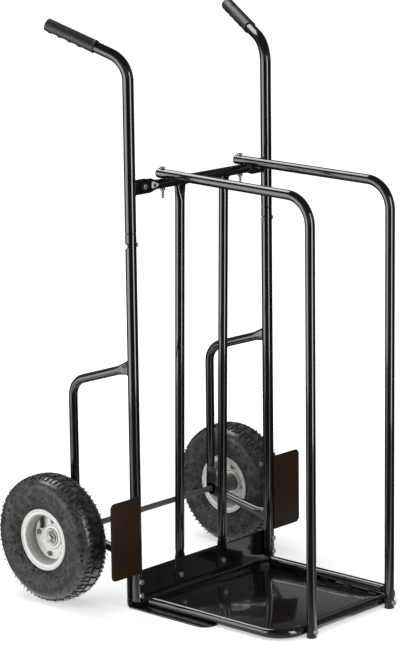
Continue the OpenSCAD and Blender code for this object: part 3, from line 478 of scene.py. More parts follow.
grip = lathe(
    "right_soft_grip", grip_start, handle_way,
    [(0.0111, 0.014), (0.0111, 0.0006), (0.0116, 0), (0.0129, 0), (grip_collar_radius, 0.0007),
     (grip_collar_radius, 0.0033), (0.0132, 0.004), (0.0129, 0.0043), (grip_radius, 0.0053)]
    + [(grip_radius, 0.0065 + 0.001 * i) for i in range(100)]
    + [(0.0126, 0.1076), (0.0121, 0.1088), (0.0110, 0.1096), (0.0085, 0.110), (0.003, 0.110),
       (0.002, 0.1092), (0, 0.109)])
reshape(grip, grip_start, handle_way, grip_side, finger_ridges)
finish_both(grip, grip_plastic, "black_grip", "frame", "right_grip", angle=50)

# Joint bolts. One M6 hexagon bolt with a locking nut pins each handle tube in its
# upright, in bright zinc plate with a cut thread past the nut.
bolt_across = 0.010
bolt_corner = bolt_across / 2 / math.cos(math.pi / 6)
bolt_radius = 0.003
head_height = 0.004
nut_height = 0.005
thread_pitch = 0.001
thread_depth = 0.0005
joint_bolt_z = 0.732
# The hair's breadth between faces that are clamped or pushed together
seat_gap = 0.00005


def six_sides(along, across, up):
    """Keeps what lies inside a hexagonal bar, so that turned chamfers cut its corners."""
    spread = math.hypot(across, up)
    if spread < bolt_across * 0.4:
        return along, across, up
    turn = (math.atan2(up, across) + math.pi / 6) % (math.pi / 3) - math.pi / 6
    share = min(1, bolt_across / 2 / math.cos(turn) / spread)
    return along, across * share, up * share


def cut_thread(start, end, crest):
    """A thread round the Z axis: a short zigzag of two edges, screwed up its height."""
    clear()
    bpy.ops.mesh.primitive_plane_add(size=0.001, location=(crest - thread_depth, 0, start))
    helix = bpy.context.object
    apply_place()
    open_all(helix)
    bpy.ops.mesh.merge(type="CENTER")
    for step in (thread_depth, -thread_depth):
        pull((step, 0, thread_pitch / 2))
    clear()
    screw = helix.modifiers.new("thread", "SCREW")
    screw.screw_offset = thread_pitch
    screw.iterations = max(1, round((end - start) / thread_pitch) - 1)
    screw.steps = screw.render_steps = 16
    screw.use_merge_vertices = True
    only(helix)
    bpy.ops.object.modifier_apply(modifier="thread")
    return helix


def together(name, *parts):
    """Joins pieces into the first of them."""
    clear()
    for part in parts:
        part.select_set(True)
    bpy.context.view_layer.objects.active = parts[0]
    if len(parts) > 1:
        bpy.ops.object.join()
    parts[0].name = name
    return parts[0]


def hex_bolt(length, threaded):
    """A bolt along +Z with the underside of its head at the origin."""
    shank = length - threaded
    body = lathe("bolt", (0, 0, 0), (0, 0, 1), [
        (0, -head_height), (0.0034, -head_height), (0.0047, -head_height), (0.0050, -0.00388),
        (0.0054, -0.0037), (bolt_corner, -0.0034), (bolt_corner, -0.0004), (0.0052, -0.0002),
        (0.0046, 0), (bolt_radius, 0), (bolt_radius, shank), (0.0025, shank + 0.0004),
        (0.0025, length - 0.0006), (0.0020, length), (0, length)], 36)
    reshape(body, (0, 0, 0), (0, 0, 1), (1, 0, 0), six_sides)
    return together("bolt", body, cut_thread(shank, length - 0.0004, bolt_radius))


def lock_nut():
    """A nut along +Z with its seat at the origin and a locking collar on top."""
    body = lathe("nut", (0, 0, 0), (0, 0, 1), [
        (0.0030, 0.0004), (0.0034, 0), (0.0047, 0), (0.0052, 0.0002), (bolt_corner, 0.0005),
        (bolt_corner, 0.0031), (0.0053, 0.0034), (0.0048, 0.0036), (0.0046, 0.0039), (0.0045, 0.0046),
        (0.0041, nut_height), (0.0033, nut_height), (0.0031, 0.0046), (0.0030, 0.0004)], 36)
    reshape(body, (0, 0, 0), (0, 0, 1), (1, 0, 0), six_sides)
    return body


def fit_copies(model, name, spots, turn=0):
    """Copies a piece modelled upright at the origin to each (place, way), as one piece."""
    copies = []
    for place, way in spots:
        only(model)
        bpy.ops.object.duplicate()
        copy = bpy.context.object
        square = Vector(way).to_track_quat("Z", "Y").to_matrix().to_4x4()
        copy.matrix_world = Matrix.Translation(place) @ square @ Matrix.Rotation(math.radians(turn), 4, "Z")
        apply_place()
        copies.append(copy)
    bpy.data.objects.remove(model)
    return together(name, *copies)


def zinc_plate(name, dark, light):
    """Zinc plate on steel, clouded between two tones, with fine scratches."""
    material, leaf, shader, place = surface(name, 0.28, 0.8)
    connect(leaf, shader, colours(leaf, noise(leaf, place, 240, 4), dark, light),
            level(leaf, noise(leaf, place, 700, 3), 0.3, 0.7, 0.24, 0.42),
            height(leaf, noise(leaf, place, 1500, 3), 0.00002))
    return material


def each_side(x, y, way, *heights):
    """The same places and way for bolts on the left and on the right of the cart."""
    return [(Vector((side * x, y, z)), (side * way[0], way[1], way[2])) for side in (-1, 1) for z in heights]


def fasten(where, length, threaded, head_spots, head_turn, nut_spots, nut_turn):
    """One piece of all the bolts at a joint of the frame, and one of their locking nuts."""
    bolts = fit_copies(hex_bolt(length, threaded), where + "_hex_bolts", head_spots, head_turn)
    finish(bolts, bright_zinc, "zinc_hardware", "frame", where + "_bolts")
    nuts = fit_copies(lock_nut(), where + "_lock_nuts", nut_spots, nut_turn)
    finish(nuts, bright_zinc, "zinc_hardware", "frame", where + "_nuts")


bright_zinc = zinc_plate("bright_zinc", (0.40, 0.41, 0.43), (0.66, 0.65, 0.63))
fasten("joint", 0.0301, 0.009,
       each_side(mast_x + upright_radius + seat_gap, mast_y, (-1, 0, 0), joint_bolt_z), 0,
       each_side(mast_x - upright_radius - seat_gap, mast_y, (-1, 0, 0), joint_bolt_z), 12)

# Crossbar. A straight tube whose two ends are pressed flat and bolted to the front of
# a steel tab, and each tab is welded to its upright.
crossbar_z = 0.8435
crossbar_y = mast_y - 0.00555
crossbar_radius = 0.0095
crossbar_end = 0.177
crossbar_flat = 0.026
taper = 0.020
tip_corner = 0.004
crossbar_bolt_x = 0.166
flat_thick = 2 * tube_wall


def flat_width(radius):
    """How wide a tube gets when it is pressed flat, since its wall doesn't stretch."""
    return math.pi * (2 * radius - tube_wall) / 2 + tube_wall


def stadium(turn, width, thick):
    """A point on a pressed tube's section, as far round it as `turn` is round a circle."""
    straight = width - thick
    side = 1 if math.sin(turn) >= 0 else -1
    reach = abs(math.atan2(math.sin(turn), math.cos(turn)))
    walk = min(reach, math.pi - reach) / (2 * math.pi) * (2 * straight + math.pi * thick)
    corner = math.pi * thick / 4
    if walk < corner:
        spot = (straight / 2 + thick / 2 * math.cos(2 * walk / thick), thick / 2 * math.sin(2 * walk / thick))
    else:
        spot = (straight / 2 - walk + corner, thick / 2)
    return (spot[0] if reach < math.pi / 2 else -spot[0], side * spot[1])


def press(piece, tip, inward, wide, radius, flat, width=0, thick=flat_thick,
          corner=tip_corner, shift=0, back=taper):
    """Presses the end of a tube flat, with round corners, and lets it grow back to round."""
    width = width or flat_width(radius)

    def rule(along, across, up):
        if along > flat + back or math.hypot(across, up) > 2 * radius:
            return along, across, up
        ease = smooth(1 - (along - flat) / back)
        wide_across, thin_up = stadium(math.atan2(up, across), width, thick)
        if along < corner:
            dip = max(along, 0.02 * corner)
            wide_across *= (width / 2 - corner + math.sqrt(corner ** 2 - (corner - dip) ** 2)) / (width / 2)
        return along, across + (wide_across - across) * ease, up + (thin_up + shift - up) * ease

    reshape(piece, tip, inward, wide, rule)


def pull_flat(way, flat, corner=tip_corner, last=False, back=taper):
    """Pulls the rings of a pressed end, close together at its round corners and taper."""
    rims = [corner * (1 - math.cos(math.radians(15 * i))) for i in range(7)]
    rims += [flat] + [flat + back * i / 9 for i in range(1, 10)]
    gaps = [after - before for before, after in zip(rims, rims[1:])]
    for gap in reversed(gaps) if last else gaps:
        pull(Vector(way) * gap)


def close_ends(piece):
    open_all(piece)
    bpy.ops.mesh.fill_holes(sides=0)
    clear()


def start_wire(name, path, kind, thick, rounds):
    """A round wire along a path, still a curve, and the spline that it follows."""
    curve = bpy.data.curves.new(name, "CURVE")
    curve.dimensions = "3D"
    curve.bevel_depth = thick
    curve.bevel_resolution = rounds
    curve.use_fill_caps = True
    line = curve.splines.new(kind)
    line.points.add(len(path) - 1)
    for point, spot in zip(line.points, path):
        point.co = (*spot, 1)
    wire = bpy.data.objects.new(name, curve)
    bpy.context.collection.objects.link(wire)
    return wire, line


def as_mesh(wire):
    only(wire)
    bpy.ops.object.convert(target="MESH")
    return bpy.context.object


def weld(name, path, thick, closed=False):
    """A rippled bead of weld along a path, thicker and thinner at each weld pool."""
    bead, line = start_wire(name, path, "POLY", thick, 2)
    bead.data.use_fill_caps = not closed
    line.use_cyclic_u = closed
    for i, point in enumerate(line.points):
        point.radius = 1 + 0.2 * math.cos(2.09 * i) + 0.07 * math.sin(0.7 * i)
    return as_mesh(bead)


crossbar = start_tube("crossbar_tube", (-crossbar_end, crossbar_y, crossbar_z), (1, 0, 0), crossbar_radius)
pull_flat((1, 0, 0), crossbar_flat)
pull((2 * (crossbar_end - crossbar_flat - taper), 0, 0), 2)
pull_flat((1, 0, 0), crossbar_flat, last=True)
clear()
close_ends(crossbar)
for side in (-1, 1):
    press(crossbar, (side * crossbar_end, crossbar_y, crossbar_z), (-side, 0, 0), (0, 0, 1),
          crossbar_radius, crossbar_flat)
finish(crossbar, black_coat, "black_powder_coat", "frame", "crossbar")

tab_low, tab_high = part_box("crossbar_tabs")
tab_inner_x = 0.155
tab_outer_x = 0.1905
clear()
bpy.ops.mesh.primitive_cube_add(
    size=1, location=((tab_inner_x + tab_outer_x) / 2, (tab_low.y + tab_high.y) / 2, crossbar_z),
    scale=(tab_outer_x - tab_inner_x, tab_high.y - tab_low.y, tab_high.z - tab_low.z))
tab = bpy.context.object
tab.name = "right_tab"
apply_place()


def select_where(piece, kind, test):
    """Opens a piece and selects corners, edges with both ends, or faces with a middle that pass."""
    only(piece)
    bpy.ops.object.mode_set(mode="EDIT")
    bpy.ops.mesh.select_mode(type=kind)
    bpy.ops.mesh.select_all(action="DESELECT")
    cage = bmesh.from_edit_mesh(piece.data)
    for corner in cage.verts if kind == "VERT" else ():
        corner.select = test(corner.co)
    for edge in cage.edges if kind == "EDGE" else ():
        edge.select = all(test(corner.co) for corner in edge.verts)
    for face in cage.faces if kind == "FACE" else ():
        face.select = test(face.calc_center_median())
    cage.select_flush_mode()
    bmesh.update_edit_mesh(piece.data)


def round_edges_along(piece, way, test, radius, steps=7):
    """Rounds the edges that run along `way` and whose ends pass the test."""
    select_where(piece, "EDGE", test)
    cage = bmesh.from_edit_mesh(piece.data)
    for edge in cage.edges:
        run = (edge.verts[0].co - edge.verts[1].co).normalized()
        edge.select = edge.select and abs(run.dot(Vector(way))) > 0.99
    cage.select_flush_mode()
    bmesh.update_edit_mesh(piece.data)
    bpy.ops.mesh.bevel(offset=radius, segments=steps, affect="EDGES")
    bpy.ops.mesh.select_mode(type="VERT")
    clear()


tab_corner = 0.007
round_edges_along(tab, (0, 1, 0), lambda co: co.x < tab_inner_x + 0.001, tab_corner)


def on_upright(y, z):
    """Where the face of a tab at this depth meets the round of the upright."""
    return Vector((mast_x - math.sqrt(max(0, upright_radius ** 2 - (y - mast_y) ** 2)) - 0.0003, y, z))


weld_step = 0.0008
weld_off = 0.0006
tab_path = [on_upright(tab_low.y - weld_off, tab_low.z + weld_step * i) for i in range(38)]
tab_path += [on_upright(tab_low.y + weld_step * i, tab_high.z + weld_off) for i in range(6)]
tab_path += [on_upright(tab_high.y + weld_off, tab_high.z - weld_step * i) for i in range(38)]
tab_path += [on_upright(tab_high.y - weld_step * i, tab_low.z - weld_off) for i in range(6)]
tab_weld = weld("right_tab_weld", tab_path, thick=0.0013, closed=True)
tab_welds = together("crossbar_tab_welds", twin(tab_weld), tab_weld)
tabs = together("crossbar_tab_plates", tab, twin(tab))
finish(tabs, black_coat, "black_powder_coat", "frame", "crossbar_tabs", bevel=0.0005)
finish(tab_welds, black_coat, "black_powder_coat", "frame", angle=70)
fasten("crossbar", 0.0151, 0.008,
       each_side(crossbar_bolt_x, crossbar_y - tube_wall - seat_gap, (0, 1, 0), crossbar_z), 8,
       each_side(crossbar_bolt_x, tab_high.y + seat_gap, (0, 1, 0), crossbar_z), 20)

# Hoops. Two tubes bent once each into tall arches that hold the log stack. Each
# stands on a plastic foot, rests on the crossbar and ends behind it in a plug.
hoop_x = 0.1195
hoop_radius = 0.0095
hoop_depth = 0.385
hoop_front = mast_y - hoop_depth
hoop_foot_z = 0.00305
hoop_bend = 0.055
hoop_overhang = 0.0095
hoop_fall = math.radians(1.5)
hoop_toe_in = math.radians(0.9)
hoop_turn = 88.5
hoop_tangent = hoop_bend * math.tan(math.radians(hoop_turn / 2))
hoop_run = (crossbar_y - hoop_front) / math.cos(hoop_toe_in)
hoop_cross_x = hoop_x - (crossbar_y - hoop_front) * math.tan(hoop_toe_in)
hoop_cross_z = crossbar_z + crossbar_radius + hoop_radius / math.cos(hoop_fall) + seat_gap
hoop_elbow = Vector((hoop_x, hoop_front, hoop_cross_z - hoop_run * math.tan(hoop_fall)))
hoop_level = Vector((-math.sin(hoop_toe_in), math.cos(hoop_toe_in), 0))
hoop_way = hoop_level * math.cos(hoop_fall) + Vector((0, 0, math.sin(hoop_fall)))
hoop_end = hoop_elbow + hoop_way * (hoop_run + hoop_overhang) / math.cos(hoop_fall)

hoop = start_tube("right_hoop_tube", (hoop_x, hoop_front, hoop_foot_z), (0, 0, 1), hoop_radius, 48)
pull((0, 0, hoop_elbow.z - hoop_tangent - hoop_foot_z), 2)
bend(hoop_elbow - Vector((0, 0, hoop_tangent)) + hoop_level * hoop_bend,
     (-math.cos(hoop_toe_in), -math.sin(hoop_toe_in), 0), hoop_turn, 24)
pull(hoop_end - hoop_elbow - hoop_way * hoop_tangent, 2)
clear()
finish_both(hoop, black_coat, "black_powder_coat", "frame", "right_hoop", wall=tube_wall)

black_plastic, leaf, shader, place = surface("black_plastic", 0.4)
connect(leaf, shader, colours(leaf, noise(leaf, place, 90, 3), (0.02, 0.02, 0.021), (0.034, 0.033, 0.033)),
        level(leaf, noise(leaf, place, 300, 4), 0.3, 0.7, 0.32, 0.52),
        height(leaf, noise(leaf, place, 1300, 2), 0.00004))

plug = lathe("right_end_plug", hoop_end, hoop_way, [
    (0, 0.0031), (0.003, 0.0030), (0.0062, 0.0026), (0.0083, 0.0019), (0.0093, 0.0011), (0.0096, 0.0004),
    (0.0094, 0.0001), (0.0079, 0.0001), (0.0079, -0.0022), (0.0076, -0.0026), (0.0079, -0.003),
    (0.0079, -0.0046), (0.0072, -0.0055), (0, -0.0055)], 40)
finish(together("hoop_plastic_plugs", plug, twin(plug)),
       black_plastic, "black_plastic", "frame", "hoop_end_plugs", angle=40)
foot_cap = lathe("right_foot_cap", (hoop_x, hoop_front, 0), (0, 0, 1), [
    (0, 0), (0.0078, 0), (0.0092, 0.0004), (0.0099, 0.0012), (0.0099, 0.0026), (0.0096, 0.003),
    (0.0079, 0.00302), (0.0079, 0.0085), (0, 0.0085)], 40)
finish(together("hoop_plastic_feet", foot_cap, twin(foot_cap)),
       black_plastic, "black_plastic", "frame", "hoop_foot_caps", angle=40)

hoop_bolt_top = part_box("hoop_bolts")[1].z - head_height
hoop_nut_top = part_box("hoop_nuts")[1].z
fasten("hoop", 0.058, 0.024,
       each_side(hoop_cross_x, crossbar_y, (0, 0, -1), hoop_bolt_top), 15,
       each_side(hoop_cross_x, crossbar_y, (0, 0, -1), hoop_nut_top), 25)

# Struts. Two tubes stand behind the load, pressed flat and bolted to the toe plate's
# flange below, and half flattened above where they are welded under the crossbar.
strut_x = 0.064
strut_radius = 0.0095
strut_foot_y = mast_y + 0.0095
strut_foot_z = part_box("right_strut")[0].z
strut_foot_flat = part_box("toe_plate")[1].z + 0.002 - strut_foot_z
strut_mouth = 0.034
strut_mouth_wide = 0.0266
strut_mouth_thick = 0.0122
strut_saddle = 0.0022
strut_low = Vector((strut_x, strut_foot_y, strut_foot_z + strut_foot_flat + taper))
strut_way = (Vector((strut_x, crossbar_y, crossbar_z)) - strut_low).normalized()
strut_top = Vector((strut_x, crossbar_y, crossbar_z)) - strut_way * (crossbar_radius - strut_saddle)

strut = start_tube("right_strut_tube", (strut_x, strut_foot_y, strut_foot_z), (0, 0, 1), strut_radius)
pull_flat((0, 0, 1), strut_foot_flat)
pull(strut_top - strut_low - strut_way * strut_mouth, 2)
pull(strut_way * strut_mouth, 12)
clear()
close_ends(strut)
press(strut, (strut_x, strut_foot_y, strut_foot_z), (0, 0, 1), (1, 0, 0), strut_radius, strut_foot_flat)


def press_mouth(piece, tip, inward, wide, radius, width, thick, length):
    """Half flattens the end of a tube, with square corners, to sit on a round tube."""
    press(piece, tip, inward, wide, radius, 0.001, width, thick, 0.0001, back=length)


press_mouth(strut, strut_top, -strut_way, (1, 0, 0), strut_radius,
            strut_mouth_wide, strut_mouth_thick, strut_mouth)
finish_both(strut, black_coat, "black_powder_coat", "frame", "right_strut")


def mouth_edge(width, thick):
    """The middle line of a bead round a half-flattened mouth, as seen along the tube."""
    bead = 0.0014
    return [stadium(2 * math.pi * i / 84, width + bead, thick + bead) for i in range(84)]


strut_weld_path = []
for across, thin in mouth_edge(strut_mouth_wide, strut_mouth_thick):
    drop = math.sqrt((crossbar_radius + 0.0002) ** 2 - thin ** 2)
    strut_weld_path.append(Vector((strut_x + across, crossbar_y + thin, crossbar_z - drop)))
strut_weld = weld("right_strut_weld", strut_weld_path, thick=0.0013, closed=True)
strut_welds = together("strut_weld_beads", twin(strut_weld), strut_weld)
finish(strut_welds, black_coat, "black_powder_coat", "frame", angle=70)

strut_bolt_z = 0.034
flange_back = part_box("toe_plate")[1].y + seat_gap
fasten("strut_foot", 0.0142, 0.008,
       each_side(strut_x, strut_foot_y - tube_wall - seat_gap, (0, 1, 0), strut_bolt_z), 18,
       each_side(strut_x, flange_back, (0, 1, 0), strut_bolt_z), 3)

# Toe plate. A 3 mm steel plate with round front corners, its back edge folded up into
# a flange that is bolted behind the feet of the uprights and struts.
toe_low, toe_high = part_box("toe_plate")
toe_half = toe_high.x
toe_thick = 0.003
toe_fold = toe_thick + 0.006
toe_corner = 0.026
flange_corner = 0.005


def start_plate(name, place, wide, long, tilt=0):
    """A flat rectangle of one face, which the next steps fold, round and thicken."""
    clear()
    bpy.ops.mesh.primitive_plane_add(size=1, location=place, rotation=(math.radians(tilt), 0, 0))
    plate = bpy.context.object
    plate.name = name
    plate.scale = (wide, long, 1)
    apply_place()
    return plate


def round_corners(plate, test, radius, steps=10):
    """Rounds the corners of a plate that pass the test."""
    select_where(plate, "VERT", test)
    bpy.ops.mesh.bevel(offset=radius, segments=steps, affect="VERTICES")


toe = start_plate("steel_toe_plate", (0, (toe_low.y + toe_high.y - toe_fold) / 2, 0),
                  2 * toe_half, toe_high.y - toe_fold - toe_low.y)
select_where(toe, "EDGE", lambda co: co.y > toe_high.y - toe_fold - 0.001)
bend((0, toe_high.y - toe_fold, toe_fold), (1, 0, 0), 90, 8)
pull((0, 0, toe_high.z - toe_fold))
round_corners(toe, lambda co: co.y < toe_low.y + 0.001, toe_corner)
round_corners(toe, lambda co: co.z > toe_high.z - 0.001, flange_corner)
clear()


def finish_sheet(piece, material, slot, body, *nodes, thick=0.002, edge=0.0005):
    """Gives a folded sheet its thickness on the side that its faces point to."""
    only(piece)
    sheet = piece.modifiers.new("sheet", "SOLIDIFY")
    sheet.thickness = thick
    sheet.offset = 1
    sheet.use_even_offset = True
    bpy.ops.object.modifier_apply(modifier="sheet")
    return finish(piece, material, slot, body, *nodes, bevel=edge)


finish_sheet(toe, black_coat, "black_powder_coat", "frame", "toe_plate", thick=toe_thick, edge=0.0006)

toe_bolt_heights = (0.026, 0.054)
fasten("toe_plate", 0.0331, 0.010,
       each_side(mast_x, mast_y - upright_radius - seat_gap, (0, 1, 0), *toe_bolt_heights), 9,
       each_side(mast_x, flange_back, (0, 1, 0), *toe_bolt_heights), 16)

# Base. One tube bent into a U lies round the log floor, welded to the toe plate at the
# back, bolted to the feet of the hoops in front, with a thin sheet welded inside it.
rail_x = 0.181
rail_z = 0.0125
rail_radius = 0.0095
rail_back = mast_y - 0.022
rail_front = mast_y - 0.36595
rail_bend = 0.050

rail = start_tube("base_rail_tube", (rail_x, rail_back, rail_z), (0, -1, 0), rail_radius, 48)
pull((0, rail_front + rail_bend - rail_back, 0), 2)
bend((rail_x - rail_bend, rail_front + rail_bend, rail_z), (0, 0, -1), 90, 18)
pull((-2 * (rail_x - rail_bend), 0, 0), 2)
bend((-rail_x + rail_bend, rail_front + rail_bend, rail_z), (0, 0, -1), 90, 18)
pull((0, rail_back - rail_front - rail_bend, 0), 2)
clear()
finish(rail, black_coat, "black_powder_coat", "frame", "base_rail", wall=tube_wall)

sheet_low, sheet_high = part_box("base_floor")
log_floor = start_plate("log_floor_sheet", (0, (sheet_low.y + sheet_high.y) / 2, sheet_low.z),
                        2 * sheet_high.x, sheet_high.y - sheet_low.y)
round_corners(log_floor, lambda co: co.y < sheet_low.y + 0.001, 0.046, 12)
bpy.ops.mesh.select_all(action="SELECT")
bpy.ops.mesh.inset(thickness=0.03)
bpy.ops.mesh.inset(thickness=0.004, depth=0.0009)
clear()
finish_sheet(log_floor, black_coat, "black_powder_coat", "frame", "base_floor", thick=0.00145, edge=0.0003)


def stitch(start, end):
    """The path of a short straight weld."""
    count = round((Vector(end) - Vector(start)).length / weld_step)
    return [Vector(start).lerp(Vector(end), i / count) for i in range(count + 1)]


base_welds = []
for weld_x, weld_z, thick, fronts in (
        (rail_x - 0.0060, 0.0040, 0.0009, (0.030, 0.095, 0.160)),
        (sheet_high.x - 0.003, 0.0052, 0.001, (0.225, 0.290))):
    for start in fronts:
        ends = [(weld_x, mast_y - start, weld_z), (weld_x, mast_y - start - 0.020, weld_z)]
        base_welds.append(weld("base_weld", stitch(*ends), thick))
right_welds = together("right_base_welds", *base_welds)
base_weld_beads = together("base_weld_beads", twin(right_welds), right_welds)
finish(base_weld_beads, black_coat, "black_powder_coat", "frame", angle=70)

base_nut_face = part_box("base_nuts")[0].y
fasten("base", 0.0462, 0.010,
       each_side(hoop_x, hoop_front - hoop_radius - seat_gap, (0, 1, 0), rail_z), 11,
       each_side(hoop_x, base_nut_face, (0, 1, 0), rail_z), 27)

# Wheel brackets. A bent tube and a short straight one are welded to each upright by
# half-flattened mouths, and their flattened eyes hold the axle between them.
bracket_x = 0.203
bracket_radius = 0.009
axle_reach = 0.165
axle_y = mast_y + axle_reach
axle_z = 0.130
bracket_z = 0.491
bracket_slope = math.radians(17.5)
bracket_bend = 0.042
bracket_turn = 72.5
mouth = 0.032
mouth_wide = 0.0262
mouth_thick = 0.0115
mouth_start = 0.0092
eye_wide = flat_width(bracket_radius)
eye_shift = tube_wall + seat_gap

bracket_way = Vector((0, math.cos(bracket_slope), -math.sin(bracket_slope)))
bracket_top = Vector((bracket_x, mast_y, bracket_z))
bracket_elbow = Vector((bracket_x, axle_y, bracket_z - axle_reach * math.tan(bracket_slope)))
bracket_tangent = bracket_bend * math.tan(math.radians(bracket_turn / 2))
bend_start = bracket_elbow - bracket_way * bracket_tangent
bracket_tip = Vector((bracket_x, axle_y, axle_z - eye_wide / 2))


def dent(piece, origin, way, wide, length):
    """The hollow that the press leaves in the outboard face of a half-flattened mouth."""
    def rule(along, across, up):
        if along > length or math.hypot(across, up) > 0.02 or up * way.cross(wide).x < 0:
            return along, across, up
        deep = 0.0042 * smooth(1 - along / length) * smooth(1 - abs(across) / 0.0105)
        return along, across, up * (1 - deep / max(abs(up), 0.004))
    reshape(piece, origin, way, wide, rule)


bracket_start = bracket_top + bracket_way * mouth_start
bracket_down = Vector((0, -math.sin(bracket_slope), -math.cos(bracket_slope)))
bracket = start_tube("right_wheel_bracket", bracket_start, bracket_way, bracket_radius)
pull(bracket_way * mouth, 12)
pull(bend_start - bracket_top - bracket_way * (mouth_start + mouth))
bend(bend_start + bracket_down * bracket_bend, (-1, 0, 0), bracket_turn, 20)
eye_flat = axle_z + 0.034 - bracket_tip.z
pull((0, 0, bracket_tip.z + eye_flat + taper - bracket_elbow.z + bracket_tangent), 2)
pull_flat((0, 0, -1), eye_flat, eye_wide / 2, last=True)
clear()
close_ends(bracket)
press_mouth(bracket, bracket_start, bracket_way, -bracket_down, bracket_radius,
            mouth_wide, mouth_thick, mouth)
dent(bracket, bracket_start, bracket_way, -bracket_down, 0.024)
press(bracket, bracket_tip, (0, 0, 1), (0, 1, 0), bracket_radius, eye_flat,
      corner=eye_wide / 2, shift=-eye_shift)
finish_both(bracket, black_coat, "black_powder_coat", "frame", "right_wheel_strut")

brace_top = Vector((bracket_x, mast_y, 0.099))
brace_eye_spot = Vector((bracket_x, axle_y, axle_z))
brace_way = (brace_eye_spot - brace_top).normalized()
brace_up = Vector((0, -brace_way.z, brace_way.y))
brace_tip = brace_eye_spot + brace_way * eye_wide / 2
brace_flat = 0.024 + eye_wide / 2
brace_start = brace_top + brace_way * mouth_start
brace = start_tube("right_lower_tube", brace_start, brace_way, bracket_radius)
pull(brace_way * mouth, 12)
pull(brace_way * ((brace_tip - brace_top).length - mouth_start - mouth - brace_flat - taper))
pull_flat(brace_way, brace_flat, eye_wide / 2, last=True)
clear()
close_ends(brace)
press_mouth(brace, brace_start, brace_way, brace_up, bracket_radius, mouth_wide, mouth_thick, mouth)
press(brace, brace_tip, -brace_way, brace_up, bracket_radius, brace_flat,
      corner=eye_wide / 2, shift=-eye_shift)
finish_both(brace, black_coat, "black_powder_coat", "frame", "right_lower_brace")


def mouth_path(way, middle_z):
    """Where a half-flattened mouth meets the round of the upright."""
    path = []
    for across, thin in mouth_edge(mouth_wide, mouth_thick):
        x = bracket_x + thin
        y = mast_y + math.sqrt(max(0.000001, (upright_radius + 0.0002) ** 2 - (x - mast_x) ** 2))
        path.append(Vector((x, y, middle_z + way.z / way.y * (y - mast_y) + across / way.y)))
    return path


bracket_weld = together(
    "right_bracket_welds",
    weld("upper_weld", mouth_path(bracket_way, bracket_z), thick=0.0014, closed=True),
    weld("lower_weld", mouth_path(brace_way, brace_top.z), thick=0.0014, closed=True))
bracket_welds = together("bracket_weld_beads", twin(bracket_weld), bracket_weld)
finish(bracket_welds, black_coat, "black_powder_coat", "frame", angle=70)

# Wheel guards. A flat plate with round outer corners stands in front of each tyre,
# welded to the front of the upright, in the same black coat with a brown painted reflection of the logs.
guard_low, guard_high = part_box("right_wheel_guard")
guard_corner = 0.011
guard_thick = 0.0025
guard_weld_x = 0.2074
guard_weld_y = guard_high.y + 0.0012
# Painted reflection: the guards' black coat is tinted brown for the warm logs it reflects.
coat_with_painted_reflection = powder_coat("guard_coat_painted_reflection", (0.0275, 0.0152, 0.0078), skin=0.05, shine=0.12, dull=0.3)

guard = start_plate(
    "right_guard_plate", ((guard_low.x + guard_high.x) / 2, guard_high.y, (guard_low.z + guard_high.z) / 2),
    guard_high.x - guard_low.x, guard_high.z - guard_low.z, tilt=90)
round_corners(guard, lambda co: co.x > guard_high.x - 0.001, guard_corner)
clear()
guard_weld_ends = [
    [(guard_weld_x, guard_weld_y, z) for z in (low, low + 0.030)] for low in (0.088, 0.186)]
guard_weld = together("right_guard_welds", *[
    weld("guard_weld", stitch(*ends), thick=0.0018) for ends in guard_weld_ends])
left_guard = twin(guard)
open_all(left_guard)
if next(iter(bmesh.from_edit_mesh(left_guard.data).faces)).normal.y > 0:
    bpy.ops.mesh.flip_normals()
clear()
guard_welds = together("guard_weld_beads", twin(guard_weld), guard_weld)
for plate, node in ((guard, "right_wheel_guard"), (left_guard, "left_wheel_guard")):
    finish_sheet(plate, coat_with_painted_reflection, "black_powder_coat", "frame", node, thick=guard_thick, edge=0.0006)
finish(guard_welds, black_coat, "black_powder_coat", "frame", angle=70)

# Axle. A straight 12 mm bar, turned to a chamfer at both ends and zinc plated dull,
# with washers against the wheels and a split pin through each end.
axle_radius = 0.006
axle_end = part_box("axle")[1].x
bright_from = 0.271

galvanised, leaf, shader, place = surface("dull_zinc_axle", 0.42, 0.85)
bar_stretch = leaf.nodes.new("ShaderNodeMapping")
bar_stretch.inputs["Scale"].default_value = (0.05, 1, 1)
leaf.links.new(place, bar_stretch.inputs["Vector"])
bar_lines = noise(leaf, bar_stretch.outputs["Vector"], 900, 4)
bar_tint = colours(leaf, noise(leaf, place, 26, 5, 0.6), (0.17, 0.185, 0.21), (0.34, 0.36, 0.39))
# Painted highlight: the bar outboard of the wheels is painted much lighter than the rest, as if lit.
painted_lit_end = level(leaf, maths(leaf, "ABSOLUTE", x_y_z(leaf, place)["X"]), bright_from, bright_from + 0.001)
connect(leaf, shader, colours(leaf, painted_lit_end, bar_tint, (0.72, 0.72, 0.70)),
        level(leaf, bar_lines, 0.3, 0.7, 0.34, 0.52), height(leaf, bar_lines, 0.00003))

half_bar = [(axle_radius, 0.2), (axle_radius, axle_end - 0.0011), (0.005, axle_end - 0.0001),
            (0.0042, axle_end), (0, axle_end)]
axle = lathe("axle_bar", (0, axle_y, axle_z), (1, 0, 0),
             [(radius, -x) for radius, x in reversed(half_bar)] + [(axle_radius, 0)] + half_bar, 40)
finish(axle, galvanised, "galvanised_axle", "frame", "axle")

inner_washer_x = 0.20610
outer_washer_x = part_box("axle_washers")[1].x - 0.002
right_washers = together("right_washers", *[
    lathe("washer", (washer_x, axle_y, axle_z), (1, 0, 0), [
        (0.0063, 0.0003), (0.0066, 0), (0.0115, 0), (0.0119, 0.0003), (0.012, 0.0006), (0.012, 0.0017),
        (0.0119, 0.002), (0.0068, 0.002), (0.0063, 0.0016), (0.0063, 0.0003)])
    for washer_x in (inner_washer_x, outer_washer_x)])
finish(together("axle_flat_washers", twin(right_washers), right_washers),
       bright_zinc, "zinc_hardware", "frame", "axle_washers")

pin_x = 0.2776
pin_gap = 0.0007
pin_top = axle_z + 0.0072
pin_eye = 0.0031
leg_curl = 0.0080


